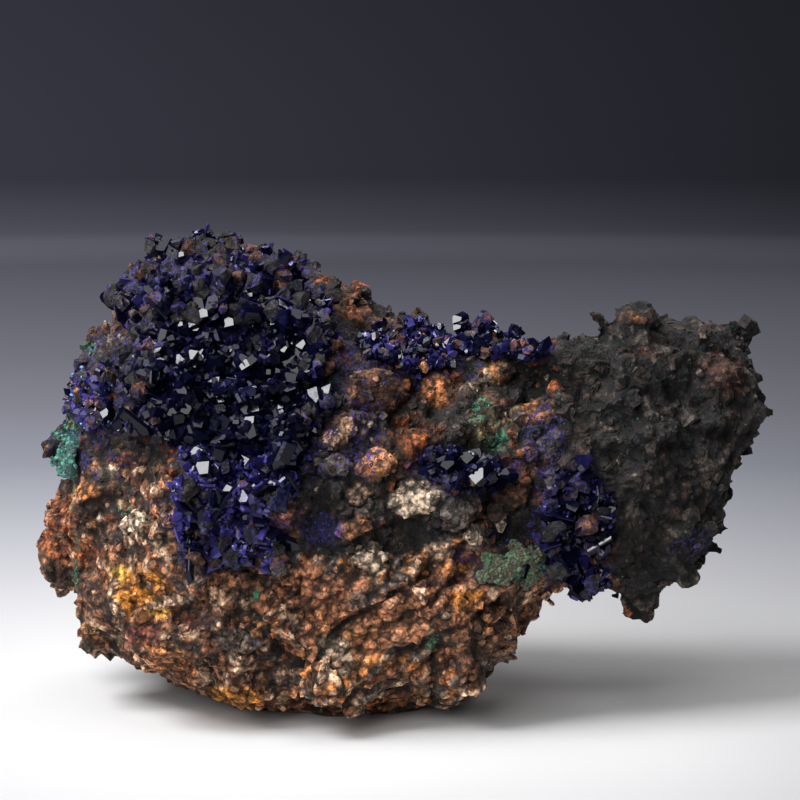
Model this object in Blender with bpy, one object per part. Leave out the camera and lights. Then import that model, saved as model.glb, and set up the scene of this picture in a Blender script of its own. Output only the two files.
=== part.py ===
"""Azurite and malachite specimen: a rough ore rock with crystal crusts grown on it.

The rock is one solid with its rubble, pits and overhanging dark lobe fused in. Each crust of
azurite crystals or malachite is a solid of its own, a hair's gap above the rock that carries it.
Frame: +X along the longest extent, the crystal face looks along -Y, +Z is up, and the specimen
rests on the flat face at Z = 0.
"""

import math
import random

import bmesh
import bpy
from mathutils import Matrix, Vector, noise
from mathutils.bvhtree import BVHTree
from mathutils.kdtree import KDTree

MM = 0.001

# Driving dimensions, in millimetres
SEED = 41
GAP = 0.3

# Upper outline of the rock seen from the front: x, z
CREST = (
    (-73.5, 58), (-73, 71), (-69.5, 78), (-65, 81.5), (-60.5, 84), (-57.5, 87.5), (-54, 92.5),
    (-47, 97), (-41.5, 99), (-35, 99.5), (-25, 96.5), (-20, 94), (-9, 89), (-5, 86),
    (0, 82.5), (8, 80), (17, 78), (27, 75), (30.5, 75), (34, 79), (40, 80.5), (46, 85.5),
    (51.5, 87), (58, 85), (68, 81), (74, 77.5), (78, 74), (80, 69),
)
# Lower outline: below zero where the rock stands on its flat face
KEEL = (
    (-73.5, 50), (-72, 40), (-71, 25), (-70.5, 18), (-68, 14), (-62, 10), (-57, 6),
    (-50, 3), (-41, -0.5), (-36, -2.5), (10, -2.5), (14, 0), (20.5, 4.5), (22.5, 8),
    (25.6, 17), (29, 20.5), (36.5, 22.5), (44, 25.5), (49.5, 22.5), (57, 24.5), (63.5, 28),
    (67.5, 33), (69.5, 38), (70.5, 46), (74, 53), (77.5, 61.5), (80, 67),
)
# Plan outline: how far the rock reaches towards the front and the back
FRONT = (
    (-73.5, -4), (-70, -16), (-62, -26), (-50, -33), (-35, -37), (-10, -38), (10, -35),
    (25, -29), (35, -25), (50, -25), (62, -22), (72, -16), (80, -5),
)
BACK = (
    (-73.5, 8), (-66, 22), (-52, 32), (-30, 37), (0, 36), (20, 32), (35, 26), (50, 27),
    (62, 23), (72, 17), (80, 7),
)
# Where the ridge runs in plan, and the height of the widest level as a share of the section
RIDGE = ((-73.5, 2), (-50, 5), (-20, 8), (10, 9), (30, 5), (50, 2), (80, 0))
WAIST_SHARE = 0.43
ROUND_ABOVE, ROUND_BELOW = 2.15, 3.0

# The specimen is described as seen by an eye at this distance and height above the level
EYE_DISTANCE, EYE_TILT = 578.0, math.radians(8)
EYE_TARGET = Vector((-0.4, 0, 65.7))

# Angular fragments set in the front face: across, up (from the target), width, height, turn
FRAGMENTS = (
    (-5.0, 2.6, 15, 10.5, -0.12), (-14.3, -6.2, 10.5, 8.5, 0.35), (8.6, 3.2, 7.5, 8.5, 0.3),
    (-4.6, -13.4, 10, 8.5, 0.1), (3.4, -9.5, 9, 8, -0.3), (3.4, -21.2, 11.5, 9, 0.55),
    (-14.0, -14.0, 9, 6, 0.2), (12.6, -25, 10, 8, 0.4), (16.2, -30, 4.5, 6, 0.1),
    (-9.5, -27.5, 9, 5, 0.25), (-15.6, -35.5, 14, 12, 0.5), (-19.4, 15.6, 8, 7, 0.4),
    (-15.2, 8.9, 6.5, 5.5, 0.2), (21.0, 6.7, 8, 6, 0.1), (-63.0, 3.0, 7, 7.5, 0.2),
    (-57.5, -26.5, 7, 5, 0.3), (-41.5, 25.5, 6, 5.5, 0.1), (-43.0, 6.5, 4, 4, 0.0),
    (-12.4, -56.5, 21, 13, 0.35), (14.5, -58.0, 13, 13, 0.3), (-34, -62, 17, 9, -0.2),
    (-56, -49, 15, 11, -0.6), (-43, -52, 12, 10, 0.4), (-27, -45, 13, 9, 0.3),
    (-2, -40, 17, 11, 0.35), (22, -38, 15, 10, 0.3), (-68, -22, 9, 10, 0.2),
    (51.5, 16.5, 10, 9, 0.2), (37.5, 10.5, 11, 7, -0.4), (62, 11.5, 9, 8, 0.3),
    (73, 6, 11, 13, -0.2), (56, -8, 15, 13, 0.4), (49, -34, 12, 9, 0.2), (62, -28, 11, 9, 0.7),
)
FRAGMENT_DEPTH = 8.5
FRAGMENT_RISE = 3.4
# Where the dark lobe starts, and the stones all round: how many, from what size to what size
LOBE_FROM = 34.0
RUBBLE = ((34, (12.0, 20.0)), (170, (4.5, 9.5)))
# The long bladed ridges on the dark lobe, and the ledge that juts out at the back left
BARS = ((40.5, 4.5, 17, 2.4, -0.72), (47.5, 8.0, 15, 2.0, -0.12), (66, -18, 16, 2.2, 0.85))
BACK_LEDGES = (
    (-71, 12, 32, 18, 20, 20), (-64, 18, 25, 17, 20, 16), (-66, 12, 45, 10, 14, 14),
    (-64, 18, 75, 12, 14, 12),
)

# Hollows pressed into the surface: across, up, half width, half height, depth
HOLLOWS = (
    (-37.0, 10.5, 17, 17, 6.5), (-24.5, 3.5, 12, 11, 5.5), (-36.5, -15.0, 12, 14, 3.5),
    (41.5, 4.5, 7, 6, 4.5), (46.5, -13.5, 4, 4, 3.0), (14.5, -15.5, 8, 3.5, 2.5),
    (-8, 10.5, 9, 3.5, 1.6), (-2.5, -36.5, 6, 2, 2.5), (39, -28, 6, 6, 1.5),
)

ROCK_TRIANGLES = 4700
CRUST_KEEP = 0.48
NEAREST_CORNERS, MOST_ROUNDS = 0.001, 20
VOXEL = 1.3
# Relief of the rock: strength and size of the lumps, then the joints between blocky cells
RELIEF = ((1.9, 19.0), (0.7, 7.0))
CELL_SIZE, CELL_STEP, CELL_DEPTH, CELL_EDGE = 9.5, 2.0, 0.6, 0.2

# Outlines of the crusts, seen from the front: across, up
DRUSE = (
    (-56, 27), (-47, 33), (-34, 31), (-24, 26), (-15, 15), (-17, 4), (-13, -2), (-21, -9),
    (-22, -17), (-29, -24), (-27, -31), (-37, -35), (-47, -33), (-48, -23), (-46, -14),
    (-49, -9), (-59, -4), (-60, 4), (-55, 11), (-59, 20),
)
LEFT_GRAINS = ((-69, 12), (-62, 14), (-63, 1), (-62, -6), (-68, -6), (-72, 1))
UPPER_PATCH = ((-10, 13), (3, 15), (11, 13), (11, 7.5), (3, 5.8), (-6, 9))
CREST_CLUSTER = (
    (0, 24), (9, 26), (20, 24), (30, 15), (29, 8.5), (20, 8.5), (13, 10), (12.5, 14.5), (2, 16.8),
)
CENTRE_SEAM = ((5, -12.5), (14, -11.5), (22, -13), (21, -19), (13, -19.5), (6, -17))
RIGHT_BLADES = ((33, -16), (41, -16), (46, -24), (45, -33), (39, -40), (33, -38), (32, -26))
MALACHITE_LEFT = ((-75, -5), (-70.5, -9), (-68, -13), (-70, -18), (-76, -14))
MALACHITE_RIGHT = ((18, -32.5), (27, -31.5), (29.5, -35), (28, -40), (20, -40.5), (17, -37))

# Crusts of small crystals: outline, crust thickness, number of crystals, width, length, squash
CRUSTS = {
    "azurite_druse": (DRUSE, 1.5, 50, (3.2, 6.4), (6.0, 9.5), 0.62),
    "azurite_left_grains": (LEFT_GRAINS, 1.4, 9, (2.2, 3.6), (3.6, 5.2), 0.7),
    "azurite_upper_patch": (UPPER_PATCH, 1.3, 11, (2.2, 3.8), (3.4, 5.0), 0.7),
    "azurite_crest": (CREST_CLUSTER, 1.3, 11, (2.6, 4.8), (5.0, 7.6), 0.55),
    "azurite_centre_seam": (CENTRE_SEAM, 1.3, 10, (2.4, 4.8), (4.0, 6.0), 0.5),
    "azurite_blades": (RIGHT_BLADES, 1.3, 13, (3.6, 7.0), (5.0, 9.0), 0.32),
    "malachite_left": (MALACHITE_LEFT, 1.3, 6, (2.2, 3.4), (2.4, 3.2), 0.9),
    "malachite_right": (MALACHITE_RIGHT, 1.3, 9, (2.0, 3.2), (2.2, 3.0), 0.9),
}
CRUST_ROOT = 0.9
CRUST_FACET = 8.0
WALL_VOXEL = 0.6
GUARD_LIFT = GAP + 0.15
CRYSTAL_LEAN = 0.75
TIP_SLOPE = math.radians(52)
SPREAD_TRIES = 6

# Colour, roughness and metallic value of each mineral, by the first word of the node's name
LOOKS = {
    "rock": ((0.20, 0.12, 0.075), 0.9, 0.0),
    "azurite": ((0.012, 0.014, 0.10), 0.2, 0.0),
    "malachite": ((0.02, 0.25, 0.15), 0.6, 0.0),
}


def clear_scene():
    """Removes the scene's objects, so that the specimen is all it holds."""
    for obj in list(bpy.data.objects):
        bpy.data.objects.remove(obj)


def mineral(name, look):
    """A Principled material with a mineral's colour, roughness and metallic value."""
    colour, roughness, metallic = look
    made = bpy.data.materials.new(name)
    made.use_nodes = True
    shader = made.node_tree.nodes["Principled BSDF"]
    shader.inputs["Base Color"].default_value = (*colour, 1)
    shader.inputs["Roughness"].default_value = roughness
    shader.inputs["Metallic"].default_value = metallic
    return made


def along(outline, x):
    """The height or reach of an outline at x, on straight runs between its points."""
    for (x0, value0), (x1, value1) in zip(outline, outline[1:]):
        if x <= x1:
            share = max(0.0, x - x0) / (x1 - x0)
            return value0 + (value1 - value0) * share
    return outline[-1][1]


def view_axes():
    """The eye's place, and its right, up and forward directions."""
    forward = Vector((0, math.cos(EYE_TILT), -math.sin(EYE_TILT)))
    right = Vector((1, 0, 0))
    return EYE_TARGET - forward * EYE_DISTANCE, right, right.cross(forward), forward


def seen(point):
    """Where a point shows in the front view: across and up from the target."""
    eye, right, up, forward = view_axes()
    ray = point - eye
    scale = EYE_DISTANCE / ray.dot(forward)
    return Vector((ray.dot(right) * scale, ray.dot(up) * scale))


def look_at(tree, across, up_by):
    """The point and normal of the surface that shows at a place in the front view."""
    eye, right, up, _ = view_axes()
    direction = EYE_TARGET + right * across + up * up_by - eye
    point, normal, _, _ = tree.ray_cast(eye, direction.normalized())
    return point, normal


def inside(outline, place):
    """Whether a place in the front view lies inside an outline."""
    crossings = 0
    for (x0, y0), (x1, y1) in zip(outline, outline[1:] + outline[:1]):
        if (y0 > place.y) != (y1 > place.y):
            crossings += place.x < x0 + (x1 - x0) * (place.y - y0) / (y1 - y0)
    return crossings % 2 == 1


def power(value, exponent):
    """A signed power, for superellipse sections."""
    return math.copysign(abs(value) ** exponent, value)


def section_point(x, turn):
    """A point of the rock's section at x, with the turn counted from the back face."""
    top, bottom = along(CREST, x), along(KEEL, x)
    waist = bottom + (top - bottom) * WAIST_SHARE
    ridge = along(RIDGE, x)
    across, up = math.cos(turn), math.sin(turn)
    exponent = 2 / (ROUND_ABOVE if up > 0 else ROUND_BELOW)
    reach = along(BACK, x) - ridge if across > 0 else ridge - along(FRONT, x)
    rise = top - waist if up > 0 else waist - bottom
    return Vector((x, ridge + reach * power(across, exponent), waist + rise * power(up, exponent)))


def rough_core():
    """The rock's main mass: a ball whose rings are moved onto its sections."""
    core = bmesh.new()
    bmesh.ops.create_uvsphere(core, u_segments=44, v_segments=60, radius=1)
    left, right = CREST[0][0], CREST[-1][0]
    for vert in core.verts:
        share = math.acos(max(-1.0, min(1.0, -vert.co.z))) / math.pi
        x = left + (right - left) * share
        if abs(vert.co.z) > 0.9999:
            waist = along(KEEL, x) + (along(CREST, x) - along(KEEL, x)) * WAIST_SHARE
            vert.co = Vector((x, along(RIDGE, x), waist))
        else:
            vert.co = section_point(x, math.atan2(vert.co.y, vert.co.x))
    bmesh.ops.recalc_face_normals(core, faces=core.faces)
    return core


def add_block(target, centre, axes, sizes, rng, corners=13):
    """Adds an angular block to a mesh: the hull of points scattered on an ellipsoid."""
    block = bmesh.new()
    for _ in range(corners):
        spot = Vector((rng.gauss(0, 1), rng.gauss(0, 1), rng.gauss(0, 1))).normalized()
        place = centre.copy()
        for axis, size, share in zip(axes, sizes, spot):
            place += axis * (0.5 * size * max(-0.86, min(0.86, share * 1.25)) / 0.86)
        block.verts.new(place)
    hull = bmesh.ops.convex_hull(block, input=block.verts)
    loose = [item for item in hull["geom_interior"] if isinstance(item, bmesh.types.BMVert)]
    bmesh.ops.delete(block, geom=loose, context="VERTS")
    bmesh.ops.recalc_face_normals(block, faces=block.faces)
    append(target, block)


def append(target, extra):
    """Moves one mesh's shapes into another."""
    mesh = bpy.data.meshes.new("extra")
    extra.to_mesh(mesh)
    extra.free()
    target.from_mesh(mesh)
    bpy.data.meshes.remove(mesh)


def add_fragments(rock, tree, rng):
    """Sets the named fragments, the bladed bars and the back ledges into the rock."""
    _, right, up, forward = view_axes()
    for across, up_by, width, height, turn in FRAGMENTS:
        point, _ = look_at(tree, across, up_by)
        if point is None:
            continue
        spin = Matrix.Rotation(-turn, 3, forward)
        axes = (spin @ right, spin @ up, forward)
        centre = point + forward * (FRAGMENT_DEPTH / 2 - FRAGMENT_RISE)
        add_block(rock, centre, axes, (width, height, FRAGMENT_DEPTH), rng, 16)
    for across, up_by, length, thickness, turn in BARS:
        point, _ = look_at(tree, across, up_by)
        spin = Matrix.Rotation(-turn, 3, forward)
        axes = (spin @ right, spin @ up, forward)
        add_block(rock, point, axes, (length, thickness, 6), rng, 18)
    for x, y, z, width, depth, height in BACK_LEDGES:
        axes = (Vector((1, 0, 0)), Vector((0, 1, 0)), Vector((0, 0, 1)))
        add_block(rock, Vector((x, y, z)), axes, (width, depth, height), rng, 34)


def under_crust(point, normal):
    """Whether a place on the front will carry a crust."""
    _, _, _, forward = view_axes()
    if normal.dot(forward) > 0:
        return False
    return any(inside(crust[0], seen(point)) for crust in CRUSTS.values())


def add_rubble(rock, tree, rng):
    """Scatters stones over the whole surface: long blades on the dark lobe, lumps elsewhere."""
    _, right, up, forward = view_axes()
    sizes = [rng.uniform(*limits) for count, limits in RUBBLE for _ in range(count)]
    for size in sizes:
        aim = Vector((rng.gauss(0, 1), rng.gauss(0, 1), rng.gauss(0, 0.8))).normalized()
        middle = Vector((rng.uniform(-62, 72), 2, 0))
        middle.z = (along(CREST, middle.x) + along(KEEL, middle.x)) / 2
        point, normal, _, _ = tree.ray_cast(middle + aim * 300, -aim)
        if point is None or point.z < 3 + size / 2 or under_crust(point, normal):
            continue
        edge_on = abs(normal.dot(forward)) < 0.5
        if edge_on and size > RUBBLE[-1][1][1]:
            continue
        first, slim = normal.orthogonal().normalized(), rng.uniform(0.6, 1)
        if point.x > LOBE_FROM:
            turn = Matrix.Rotation(rng.gauss(0.75, 0.35), 3, forward)
            first = (turn @ right).cross(normal).cross(normal).normalized()
            slim = 0.4
        axes, depth = (first, normal.cross(first), normal), 2 + size * 0.5
        sink = 0.5 if edge_on else 0.12
        add_block(rock, point - normal * sink * depth, axes, (size, size * slim, depth), rng, 11)


def evaluated_copy(obj):
    """A new mesh that holds the object as its modifiers leave it."""
    bpy.context.view_layer.update()
    graph = bpy.context.evaluated_depsgraph_get()
    return bpy.data.meshes.new_from_object(obj.evaluated_get(graph))


def taken(obj):
    """The object's mesh as its modifiers leave it, with the object removed."""
    shape = bmesh.new()
    shape.from_mesh(evaluated_copy(obj))
    bpy.data.objects.remove(obj)
    return shape


def new_object(name, shape):
    """A linked object from a bmesh or a mesh."""
    if isinstance(shape, bmesh.types.BMesh):
        mesh = bpy.data.meshes.new(name)
        shape.to_mesh(mesh)
        shape.free()
    else:
        mesh = shape
    obj = bpy.data.objects.new(name, mesh)
    bpy.context.scene.collection.objects.link(obj)
    return obj


def fused(shape, voxel):
    """One closed skin around all the overlapping shapes of a mesh."""
    holder = new_object("holder", shape)
    remesh = holder.modifiers.new("Fuse", "REMESH")
    remesh.mode = "VOXEL"
    remesh.voxel_size = voxel
    return taken(holder)


def hollow_depth(place, facing):
    """How deep the hollows press the surface in at a place in the front view."""
    depth = 0.0
    for across, up_by, half_width, half_height, deep in HOLLOWS:
        spread = ((place.x - across) / half_width) ** 2 + ((place.y - up_by) / half_height) ** 2
        if spread < 1:
            depth = max(depth, deep * (1 - spread) ** 0.8)
    return depth * max(0.0, min(1.0, facing * 2))


def cell_relief(point):
    """How far the blocky cell at a point stands out, with the joints between cells sunk."""
    distances, seeds = noise.voronoi(point / CELL_SIZE)
    joint = max(0.0, 1 - (distances[1] - distances[0]) / CELL_EDGE)
    return CELL_STEP * (noise.cell(seeds[0] * 7.3) - 0.5) - CELL_DEPTH * joint


def carve(rock):
    """Moves the skin along its normals: hollows, lumps and cell joints."""
    rock.normal_update()
    _, _, _, forward = view_axes()
    moves = []
    for vert in rock.verts:
        point, normal = vert.co, vert.normal
        push = -hollow_depth(seen(point), -normal.dot(forward))
        for strength, size in RELIEF:
            push += strength * noise.noise(point / size)
        if not under_crust(point, normal):
            push += cell_relief(point)
        moves.append(normal * push)
    for vert, move in zip(rock.verts, moves):
        vert.co += move


def keep_largest(shape):
    """Deletes every island of faces but the one with the most faces."""
    shape.faces.ensure_lookup_table()
    unseen, islands = set(shape.faces), []
    while unseen:
        start = unseen.pop()
        island, queue = {start}, [start]
        while queue:
            for edge in queue.pop().edges:
                for face in edge.link_faces:
                    if face in unseen:
                        unseen.discard(face)
                        island.add(face)
                        queue.append(face)
        islands.append(island)
    largest = max(islands, key=len)
    spare = [face for island in islands if island is not largest for face in island]
    bmesh.ops.delete(shape, geom=spare, context="FACES")
    loose = [vert for vert in shape.verts if not vert.link_faces]
    bmesh.ops.delete(shape, geom=loose, context="VERTS")


def stand_flat(rock):
    """Cuts the rock off at Z = 0 and closes the cut with a flat face."""
    geometry = [*rock.verts, *rock.edges, *rock.faces]
    bmesh.ops.bisect_plane(
        rock, geom=geometry, plane_co=(0, 0, 0), plane_no=(0, 0, -1), clear_outer=True
    )
    rim = [edge for edge in rock.edges if edge.is_boundary]
    bmesh.ops.holes_fill(rock, edges=rim, sides=0)
    bmesh.ops.triangulate(rock, faces=rock.faces)


def centred(shapes):
    """The shift that puts the middle of the shapes' bounding box over the origin."""
    places = [vert.co for shape in shapes for vert in shape.verts]
    low = Vector(min(place[axis] for place in places) for axis in range(3))
    high = Vector(max(place[axis] for place in places) for axis in range(3))
    return Vector((-(low.x + high.x) / 2, -(low.y + high.y) / 2, 0))


def simplified(shape, triangles):
    """The shape collapsed to about a number of triangles."""
    holder = new_object("holder", shape)
    count = sum(len(face.vertices) - 2 for face in holder.data.polygons)
    collapse = holder.modifiers.new("Collapse", "DECIMATE")
    collapse.ratio = min(1.0, triangles / count)
    collapse.use_collapse_triangulate = True
    return taken(holder)


def build_rock():
    """The rock in millimetres: its finely carved skin, and the closed solid made from that."""
    rng = random.Random(SEED)
    core = rough_core()
    tree = BVHTree.FromBMesh(core)
    add_fragments(core, tree, rng)
    add_rubble(core, tree, rng)
    rock = fused(core, VOXEL)
    carve(rock)
    rock = fused(rock, VOXEL)
    keep_largest(rock)
    skin = rock.copy()
    rock = simplified(rock, ROCK_TRIANGLES)
    stand_flat(rock)
    keep_largest(rock)
    bmesh.ops.recalc_face_normals(rock, faces=rock.faces)
    return skin, rock


def unpinch(skin):
    """Deletes the faces round each point where a skin's rim meets itself, until there is none."""
    while True:
        pinched = set()
        for vert in skin.verts:
            if sum(edge.is_boundary for edge in vert.link_edges) > 2:
                pinched.update(vert.link_faces)
        if not pinched:
            return
        bmesh.ops.delete(skin, geom=list(pinched), context="FACES")


def crust_skin(carved, outline):
    """The carved skin's front faces inside an outline, in one island of larger facets."""
    _, _, _, forward = view_axes()
    skin = carved.copy()
    skin.normal_update()
    outside = []
    for face in skin.faces:
        middle = face.calc_center_median()
        turned_away = face.normal.dot(forward) > 0.05
        if turned_away or not inside(outline, seen(middle)):
            outside.append(face)
    bmesh.ops.delete(skin, geom=outside, context="FACES")
    unpinch(skin)
    keep_largest(skin)
    facets = sum(face.calc_area() for face in skin.faces) / CRUST_FACET
    skin = simplified(skin, max(24, facets))
    unpinch(skin)
    skin.normal_update()
    return skin


def random_spot(faces, areas, rng):
    """A random place on some faces and the normal there."""
    face = rng.choices(faces, areas)[0]
    a, b, c = (loop.vert.co for loop in face.loops)
    first, second = rng.random(), rng.random()
    if first + second > 1:
        first, second = 1 - first, 1 - second
    return a + (b - a) * first + (c - a) * second, face.normal.copy()


def make_crystal(root, direction, width, length, squash, spin, rng):
    """A six-sided prism with flat faces and a chisel tip."""
    crystal = bmesh.new()
    bmesh.ops.create_cone(
        crystal, cap_ends=True, segments=6, radius1=width / 2, radius2=width / 2, depth=length
    )
    bmesh.ops.scale(crystal, vec=(1, squash, 1), verts=crystal.verts)
    tip = Vector((0, 0, length / 2))
    for side in (-1, 1):
        slope = TIP_SLOPE * rng.uniform(0.75, 1.2)
        plane = Vector((side * math.sin(slope), rng.uniform(-0.25, 0.25), math.cos(slope)))
        cut = bmesh.ops.bisect_plane(
            crystal,
            geom=[*crystal.verts, *crystal.edges, *crystal.faces],
            plane_co=tip + Vector((rng.uniform(-0.2, 0.2) * width, 0, 0)),
            plane_no=plane,
            clear_outer=True,
        )
        rim = [item for item in cut["geom_cut"] if isinstance(item, bmesh.types.BMEdge)]
        bmesh.ops.holes_fill(crystal, edges=rim, sides=0)
    turn = direction.to_track_quat("Z", "Y").to_matrix() @ Matrix.Rotation(spin, 3, "Z")
    centre = root + direction * (length / 2)
    bmesh.ops.transform(
        crystal, matrix=Matrix.Translation(centre) @ turn.to_4x4(), verts=crystal.verts
    )
    bmesh.ops.recalc_face_normals(crystal, faces=crystal.faces)
    return new_object("crystal", crystal)


def grow_crystals(skin, count, widths, lengths, squash, rng):
    """Crystals rooted all over a piece of skin, leaning at random from its normals."""
    grown, roots = [], []
    faces = list(skin.faces)
    areas = [face.calc_area() for face in faces]
    for _ in range(count):
        tries = [random_spot(faces, areas, rng) for _ in range(SPREAD_TRIES)]
        root, normal = max(
            tries, key=lambda spot: min(((spot[0] - other).length for other in roots), default=0)
        )
        roots.append(root.copy())
        lean = Vector((rng.gauss(0, 1), rng.gauss(0, 1), rng.gauss(0, 1))) * CRYSTAL_LEAN / 2
        direction = (normal + lean).normalized()
        if direction.dot(normal) < 0.45:
            direction = normal
        width = rng.uniform(*widths)
        length = rng.uniform(*lengths)
        root -= direction * (0.2 * length)
        spin = rng.uniform(0, math.pi)
        grown.append(make_crystal(root, direction, width, length, squash, spin, rng))
    return grown


def boolean(obj, other, operation):
    """Joins or cuts with another object. The crossing crystals need the manifold solver."""
    modifier = obj.modifiers.new("Boolean", "BOOLEAN")
    modifier.operation = operation
    modifier.object = other
    modifier.solver = "MANIFOLD"


def triangulated(shape):
    """The shape in triangles, with no diagonal that two neighbouring faces would share."""
    while True:
        trial = shape.copy()
        bmesh.ops.triangulate(trial, faces=trial.faces)
        shared = [
            {vert.index for vert in edge.verts} for edge in trial.edges if len(edge.link_faces) > 2
        ]
        if not shared:
            shape.free()
            return trial
        trial.free()
        crossed = [
            face for face in shape.faces
            if len(face.verts) > 3
            and any(pair <= {vert.index for vert in face.verts} for pair in shared)
        ]
        bmesh.ops.poke(shape, faces=crossed)
        shape.verts.index_update()


def without_slivers(shape):
    """The shape collapsed a little at a time, until no two of its corners nearly meet."""
    for _ in range(MOST_ROUNDS):
        shape = simplified(shape, len(shape.faces) * 0.97)
        corners = KDTree(len(shape.verts))
        for index, vert in enumerate(shape.verts):
            corners.insert(vert.co, index)
        corners.balance()
        if all(len(corners.find_range(vert.co, NEAREST_CORNERS)) == 1 for vert in shape.verts):
            break
    return shape


def crust_wall(skin, thickness):
    """A skin thickened to both sides into a closed wall that doesn't cross itself."""
    for vert in skin.verts:
        vert.co -= vert.normal * CRUST_ROOT
    sheet = new_object("sheet", skin)
    thicken = sheet.modifiers.new("Thicken", "SOLIDIFY")
    thicken.thickness = thickness + CRUST_ROOT
    thicken.offset = 1
    wall = fused(taken(sheet), WALL_VOXEL)
    keep_largest(wall)
    return simplified(wall, sum(face.calc_area() for face in wall.faces) / CRUST_FACET)


def build_crust(name, carved, guard, rng):
    """A crust with its crystals in one solid, cut clear of the rock under it."""
    outline, thickness, count, widths, lengths, squash = CRUSTS[name]
    skin = crust_skin(carved, outline)
    grown = grow_crystals(skin, count, widths, lengths, squash, rng)
    sheet = new_object("sheet", crust_wall(skin, thickness))
    for crystal in grown:
        boolean(sheet, crystal, "UNION")
    joined = triangulated(taken(sheet))
    for crystal in grown:
        bpy.data.objects.remove(crystal)
    keep_largest(joined)
    holder = new_object("crust", simplified(joined, len(joined.faces) * CRUST_KEEP))
    boolean(holder, guard, "DIFFERENCE")
    crust = triangulated(taken(holder))
    keep_largest(crust)
    return without_slivers(crust)


def guard_of(rock):
    """The rock grown by the gap: what a crust is cut clear of."""
    lifted = rock.copy()
    lifted.normal_update()
    for vert in lifted.verts:
        vert.co += vert.normal * GUARD_LIFT
    grown, plain = new_object("grown", lifted), new_object("plain", rock.copy())
    join = grown.modifiers.new("Join", "BOOLEAN")
    join.operation = "UNION"
    join.use_self = True
    join.object = plain
    guard = triangulated(taken(grown))
    bpy.data.objects.remove(plain)
    keep_largest(guard)
    obj = new_object("guard", guard)
    obj.hide_render = True
    obj.display_type = "WIRE"
    return obj


def finish(name, shape, shift, look):
    """Places a finished shape in the specimen's frame, in metres, with its material."""
    bmesh.ops.translate(shape, vec=shift, verts=shape.verts)
    bmesh.ops.scale(shape, vec=(MM, MM, MM), verts=shape.verts)
    obj = new_object(name, shape)
    obj.data.materials.append(look)
    return obj


def main():
    """Builds the rock, then every crust on it, and centres them over the origin."""
    clear_scene()
    carved, rock = build_rock()
    guard = guard_of(rock)
    shapes = {"rock_matrix": rock}
    for index, name in enumerate(CRUSTS):
        shapes[name] = build_crust(name, carved, guard, random.Random(SEED + index))
    bpy.data.objects.remove(guard)
    looks = {name: mineral(name, look) for name, look in LOOKS.items()}
    shift = centred(shapes.values())
    for name, shape in shapes.items():
        finish(name, shape, shift, looks[name.split("_")[0]])


main()
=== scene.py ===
"""An azurite and malachite specimen: broken and healed rock with dark blue druses and green crusts.

Places on the specimen are given as (across, up): millimetres to the right of and above the point
that the camera looks at, seen along the camera's line of sight.
"""

import logging
import math
import random
from collections.abc import Callable, Iterable, Sequence
from dataclasses import dataclass, field
from enum import Enum

import bmesh
import bpy
import numpy as np
from mathutils import Matrix, Quaternion, Vector, noise
from mathutils.bvhtree import BVHTree

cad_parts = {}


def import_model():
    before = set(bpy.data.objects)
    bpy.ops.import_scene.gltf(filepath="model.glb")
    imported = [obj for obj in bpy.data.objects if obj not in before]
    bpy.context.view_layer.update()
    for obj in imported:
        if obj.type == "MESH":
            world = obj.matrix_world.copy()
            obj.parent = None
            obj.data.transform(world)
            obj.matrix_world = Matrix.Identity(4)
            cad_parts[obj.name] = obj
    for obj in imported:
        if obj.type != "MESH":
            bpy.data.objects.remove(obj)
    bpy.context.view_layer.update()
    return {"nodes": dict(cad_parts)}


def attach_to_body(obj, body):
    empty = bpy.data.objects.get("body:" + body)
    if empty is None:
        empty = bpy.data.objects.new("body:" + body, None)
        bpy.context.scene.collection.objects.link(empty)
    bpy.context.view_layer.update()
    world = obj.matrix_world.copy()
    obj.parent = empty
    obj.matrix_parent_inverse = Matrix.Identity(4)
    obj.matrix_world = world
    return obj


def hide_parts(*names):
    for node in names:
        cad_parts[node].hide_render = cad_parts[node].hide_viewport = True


log = logging.getLogger("specimen")

MM = 0.001
# Without a fixed seed the noise that bends the chips differs from run to run.
NOISE_SEED = 11

Colour = tuple[float, float, float]


def linear(red: int, green: int, blue: int) -> Colour:
    """Turns a screen colour into a linear one.

    Args:
        red: Red, 0 to 255.
        green: Green, 0 to 255.
        blue: Blue, 0 to 255.

    Returns:
        The linear colour, 0 to 1.
    """
    shares = (red / 255, green / 255, blue / 255)
    return tuple(s / 12.92 if s <= 0.04045 else ((s + 0.055) / 1.055) ** 2.4 for s in shares)


def smooth(low: float, high: float, value: np.ndarray | float) -> np.ndarray | float:
    """Rises smoothly from 0 at low to 1 at high.

    Args:
        low: Where the rise starts.
        high: Where it ends.
        value: What is measured.

    Returns:
        The share, 0 to 1.
    """
    share = np.clip((value - low) / (high - low), 0.0, 1.0)
    return share * share * (3 - 2 * share)


class Swatch(Enum):
    """The colours of the rock."""

    CREAM = linear(212, 188, 162)
    PALE = linear(190, 152, 122)
    TAN = linear(184, 124, 78)
    ROSE = linear(178, 118, 82)
    GREY = linear(104, 92, 84)
    BROWN = linear(114, 74, 50)
    UMBER = linear(66, 50, 42)
    DARK = linear(42, 36, 34)
    RUST = linear(152, 80, 36)
    ORANGE = linear(186, 116, 62)
    BRICK = linear(142, 92, 74)
    RED = linear(122, 52, 40)
    OCHRE = linear(200, 126, 36)
    YELLOW = linear(222, 166, 58)
    OLIVE = linear(116, 104, 74)
    TEAL = linear(44, 56, 82)
    VIOLET = linear(78, 70, 132)
    SLATE = linear(58, 53, 52)


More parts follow.
